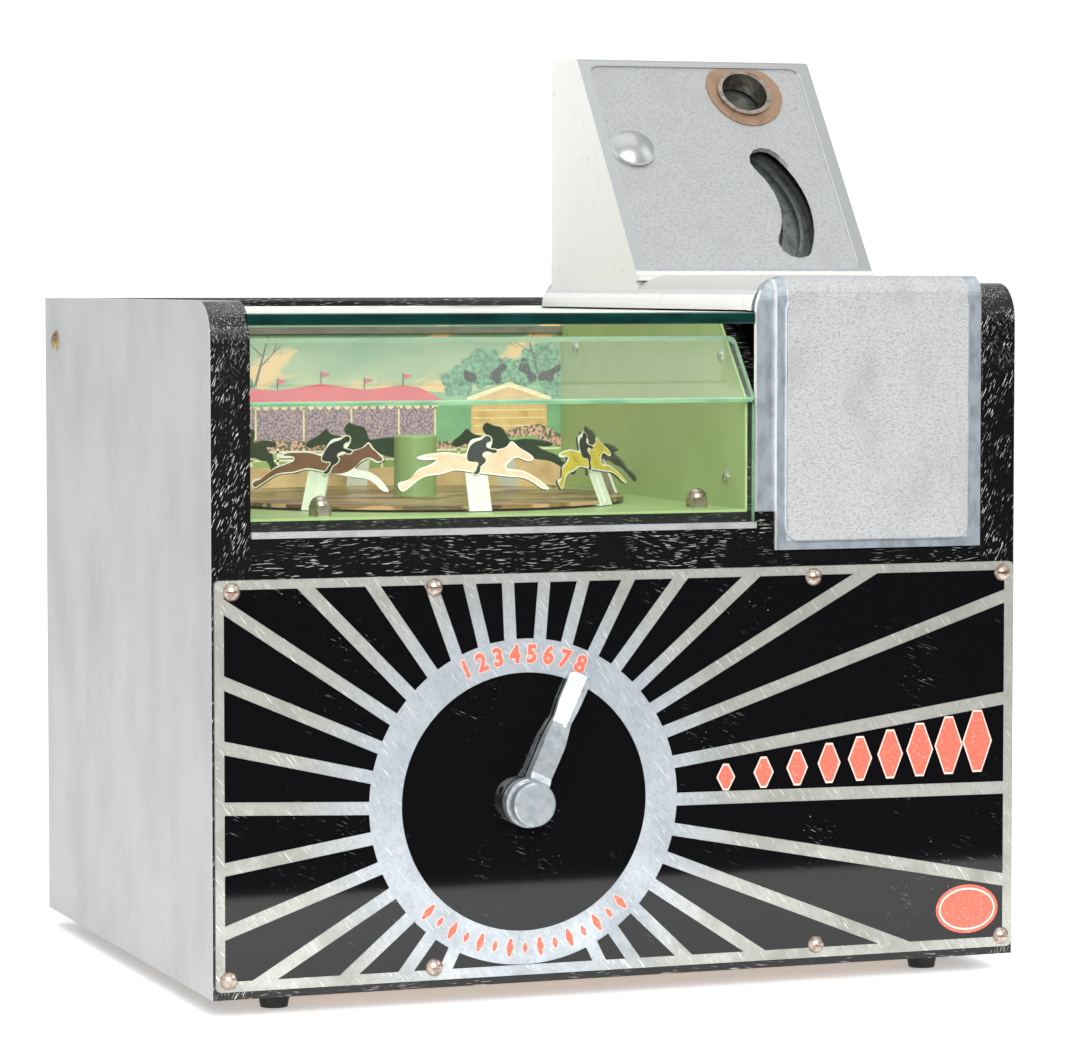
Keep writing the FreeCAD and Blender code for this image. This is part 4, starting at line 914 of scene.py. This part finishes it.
# the room: bright above and behind, dim low in front, where the black plate mirrors it
world = bpy.data.worlds.new("softRoom")
bpy.context.scene.world = world
world.use_nodes = True
roomTree = world.node_tree
background = roomTree.nodes["Background"]
direction = addNode(roomTree, "TexCoord", {}, "Generated")
roomAxes = addNode(roomTree, "SeparateXYZ", {0: direction}).node.outputs
rise = addNode(roomTree, "MapRange", {"Value": roomAxes[2], "From Min": -0.005, "From Max": 0.2,
                                      "interpolation_type": "SMOOTHSTEP"})
behind = addNode(roomTree, "MapRange", {"Value": roomAxes[1], "From Min": -0.75, "From Max": -0.1})
bright = addNode(roomTree, "Math", {"operation": "MAXIMUM", 0: rise, 1: behind})
# the camera sees pale paper all round, and only the gloss sees the dim side of the room
seen = addNode(roomTree, "LightPath", {}, "Is Camera Ray")
roomColour = layColours(roomTree, "#141414", (bright, "#E6E6E6"), (seen, "#F4F4F4"))
roomTree.links.new(roomColour, background.inputs["Color"])
background.inputs["Strength"].default_value = 0.85

# each soft box: where it stands, what it looks at, its size in metres and its power in watts
lamps = {"leftBox": ((-1.9, -0.5, 0.9), (0, 0, 0.15), 1.6, 5.0),
         "topBox": ((0.0, 0.1, 2.1), (0, 0.05, 0.1), 1.8, 13.0),
         "rightBox": ((1.9, -0.9, 1.5), (0, 0, 0.15), 1.2, 10.0),
         "frontHigh": ((-0.5, -2.5, 1.3), (0, 0, 0.2), 1.8, 95.0)}
for name, (place, target, size, power) in lamps.items():
    lamp = bpy.data.lights.new(name, "AREA")
    lamp.size = size
    lamp.energy = power
    holder = bpy.data.objects.new(name, lamp)
    bpy.context.collection.objects.link(holder)
    holder.location = place
    holder.rotation_euler = (Vector(target) - Vector(place)).to_track_quat("-Z", "Y").to_euler()

bpy.context.scene.view_settings.view_transform = "Standard"
bpy.context.scene.view_settings.look = "None"
# the photo's camera, as it was fitted to the edges of the cabinet
fitted = {"place": (-0.619297, -1.704155, 0.286071), "pitch": 86.69, "yaw": -20.29, "lens": 142.05, "sensor": 36.0}
lens = bpy.data.cameras.new("photoCamera")
lens.lens = fitted["lens"]
lens.sensor_width = fitted["sensor"]
camera = bpy.data.objects.new("photoCamera", lens)
bpy.context.collection.objects.link(camera)
camera.location = fitted["place"]
camera.rotation_euler = (math.radians(fitted["pitch"]), 0.0, math.radians(fitted["yaw"]))
bpy.context.scene.camera = camera
print("stage: lights and camera")
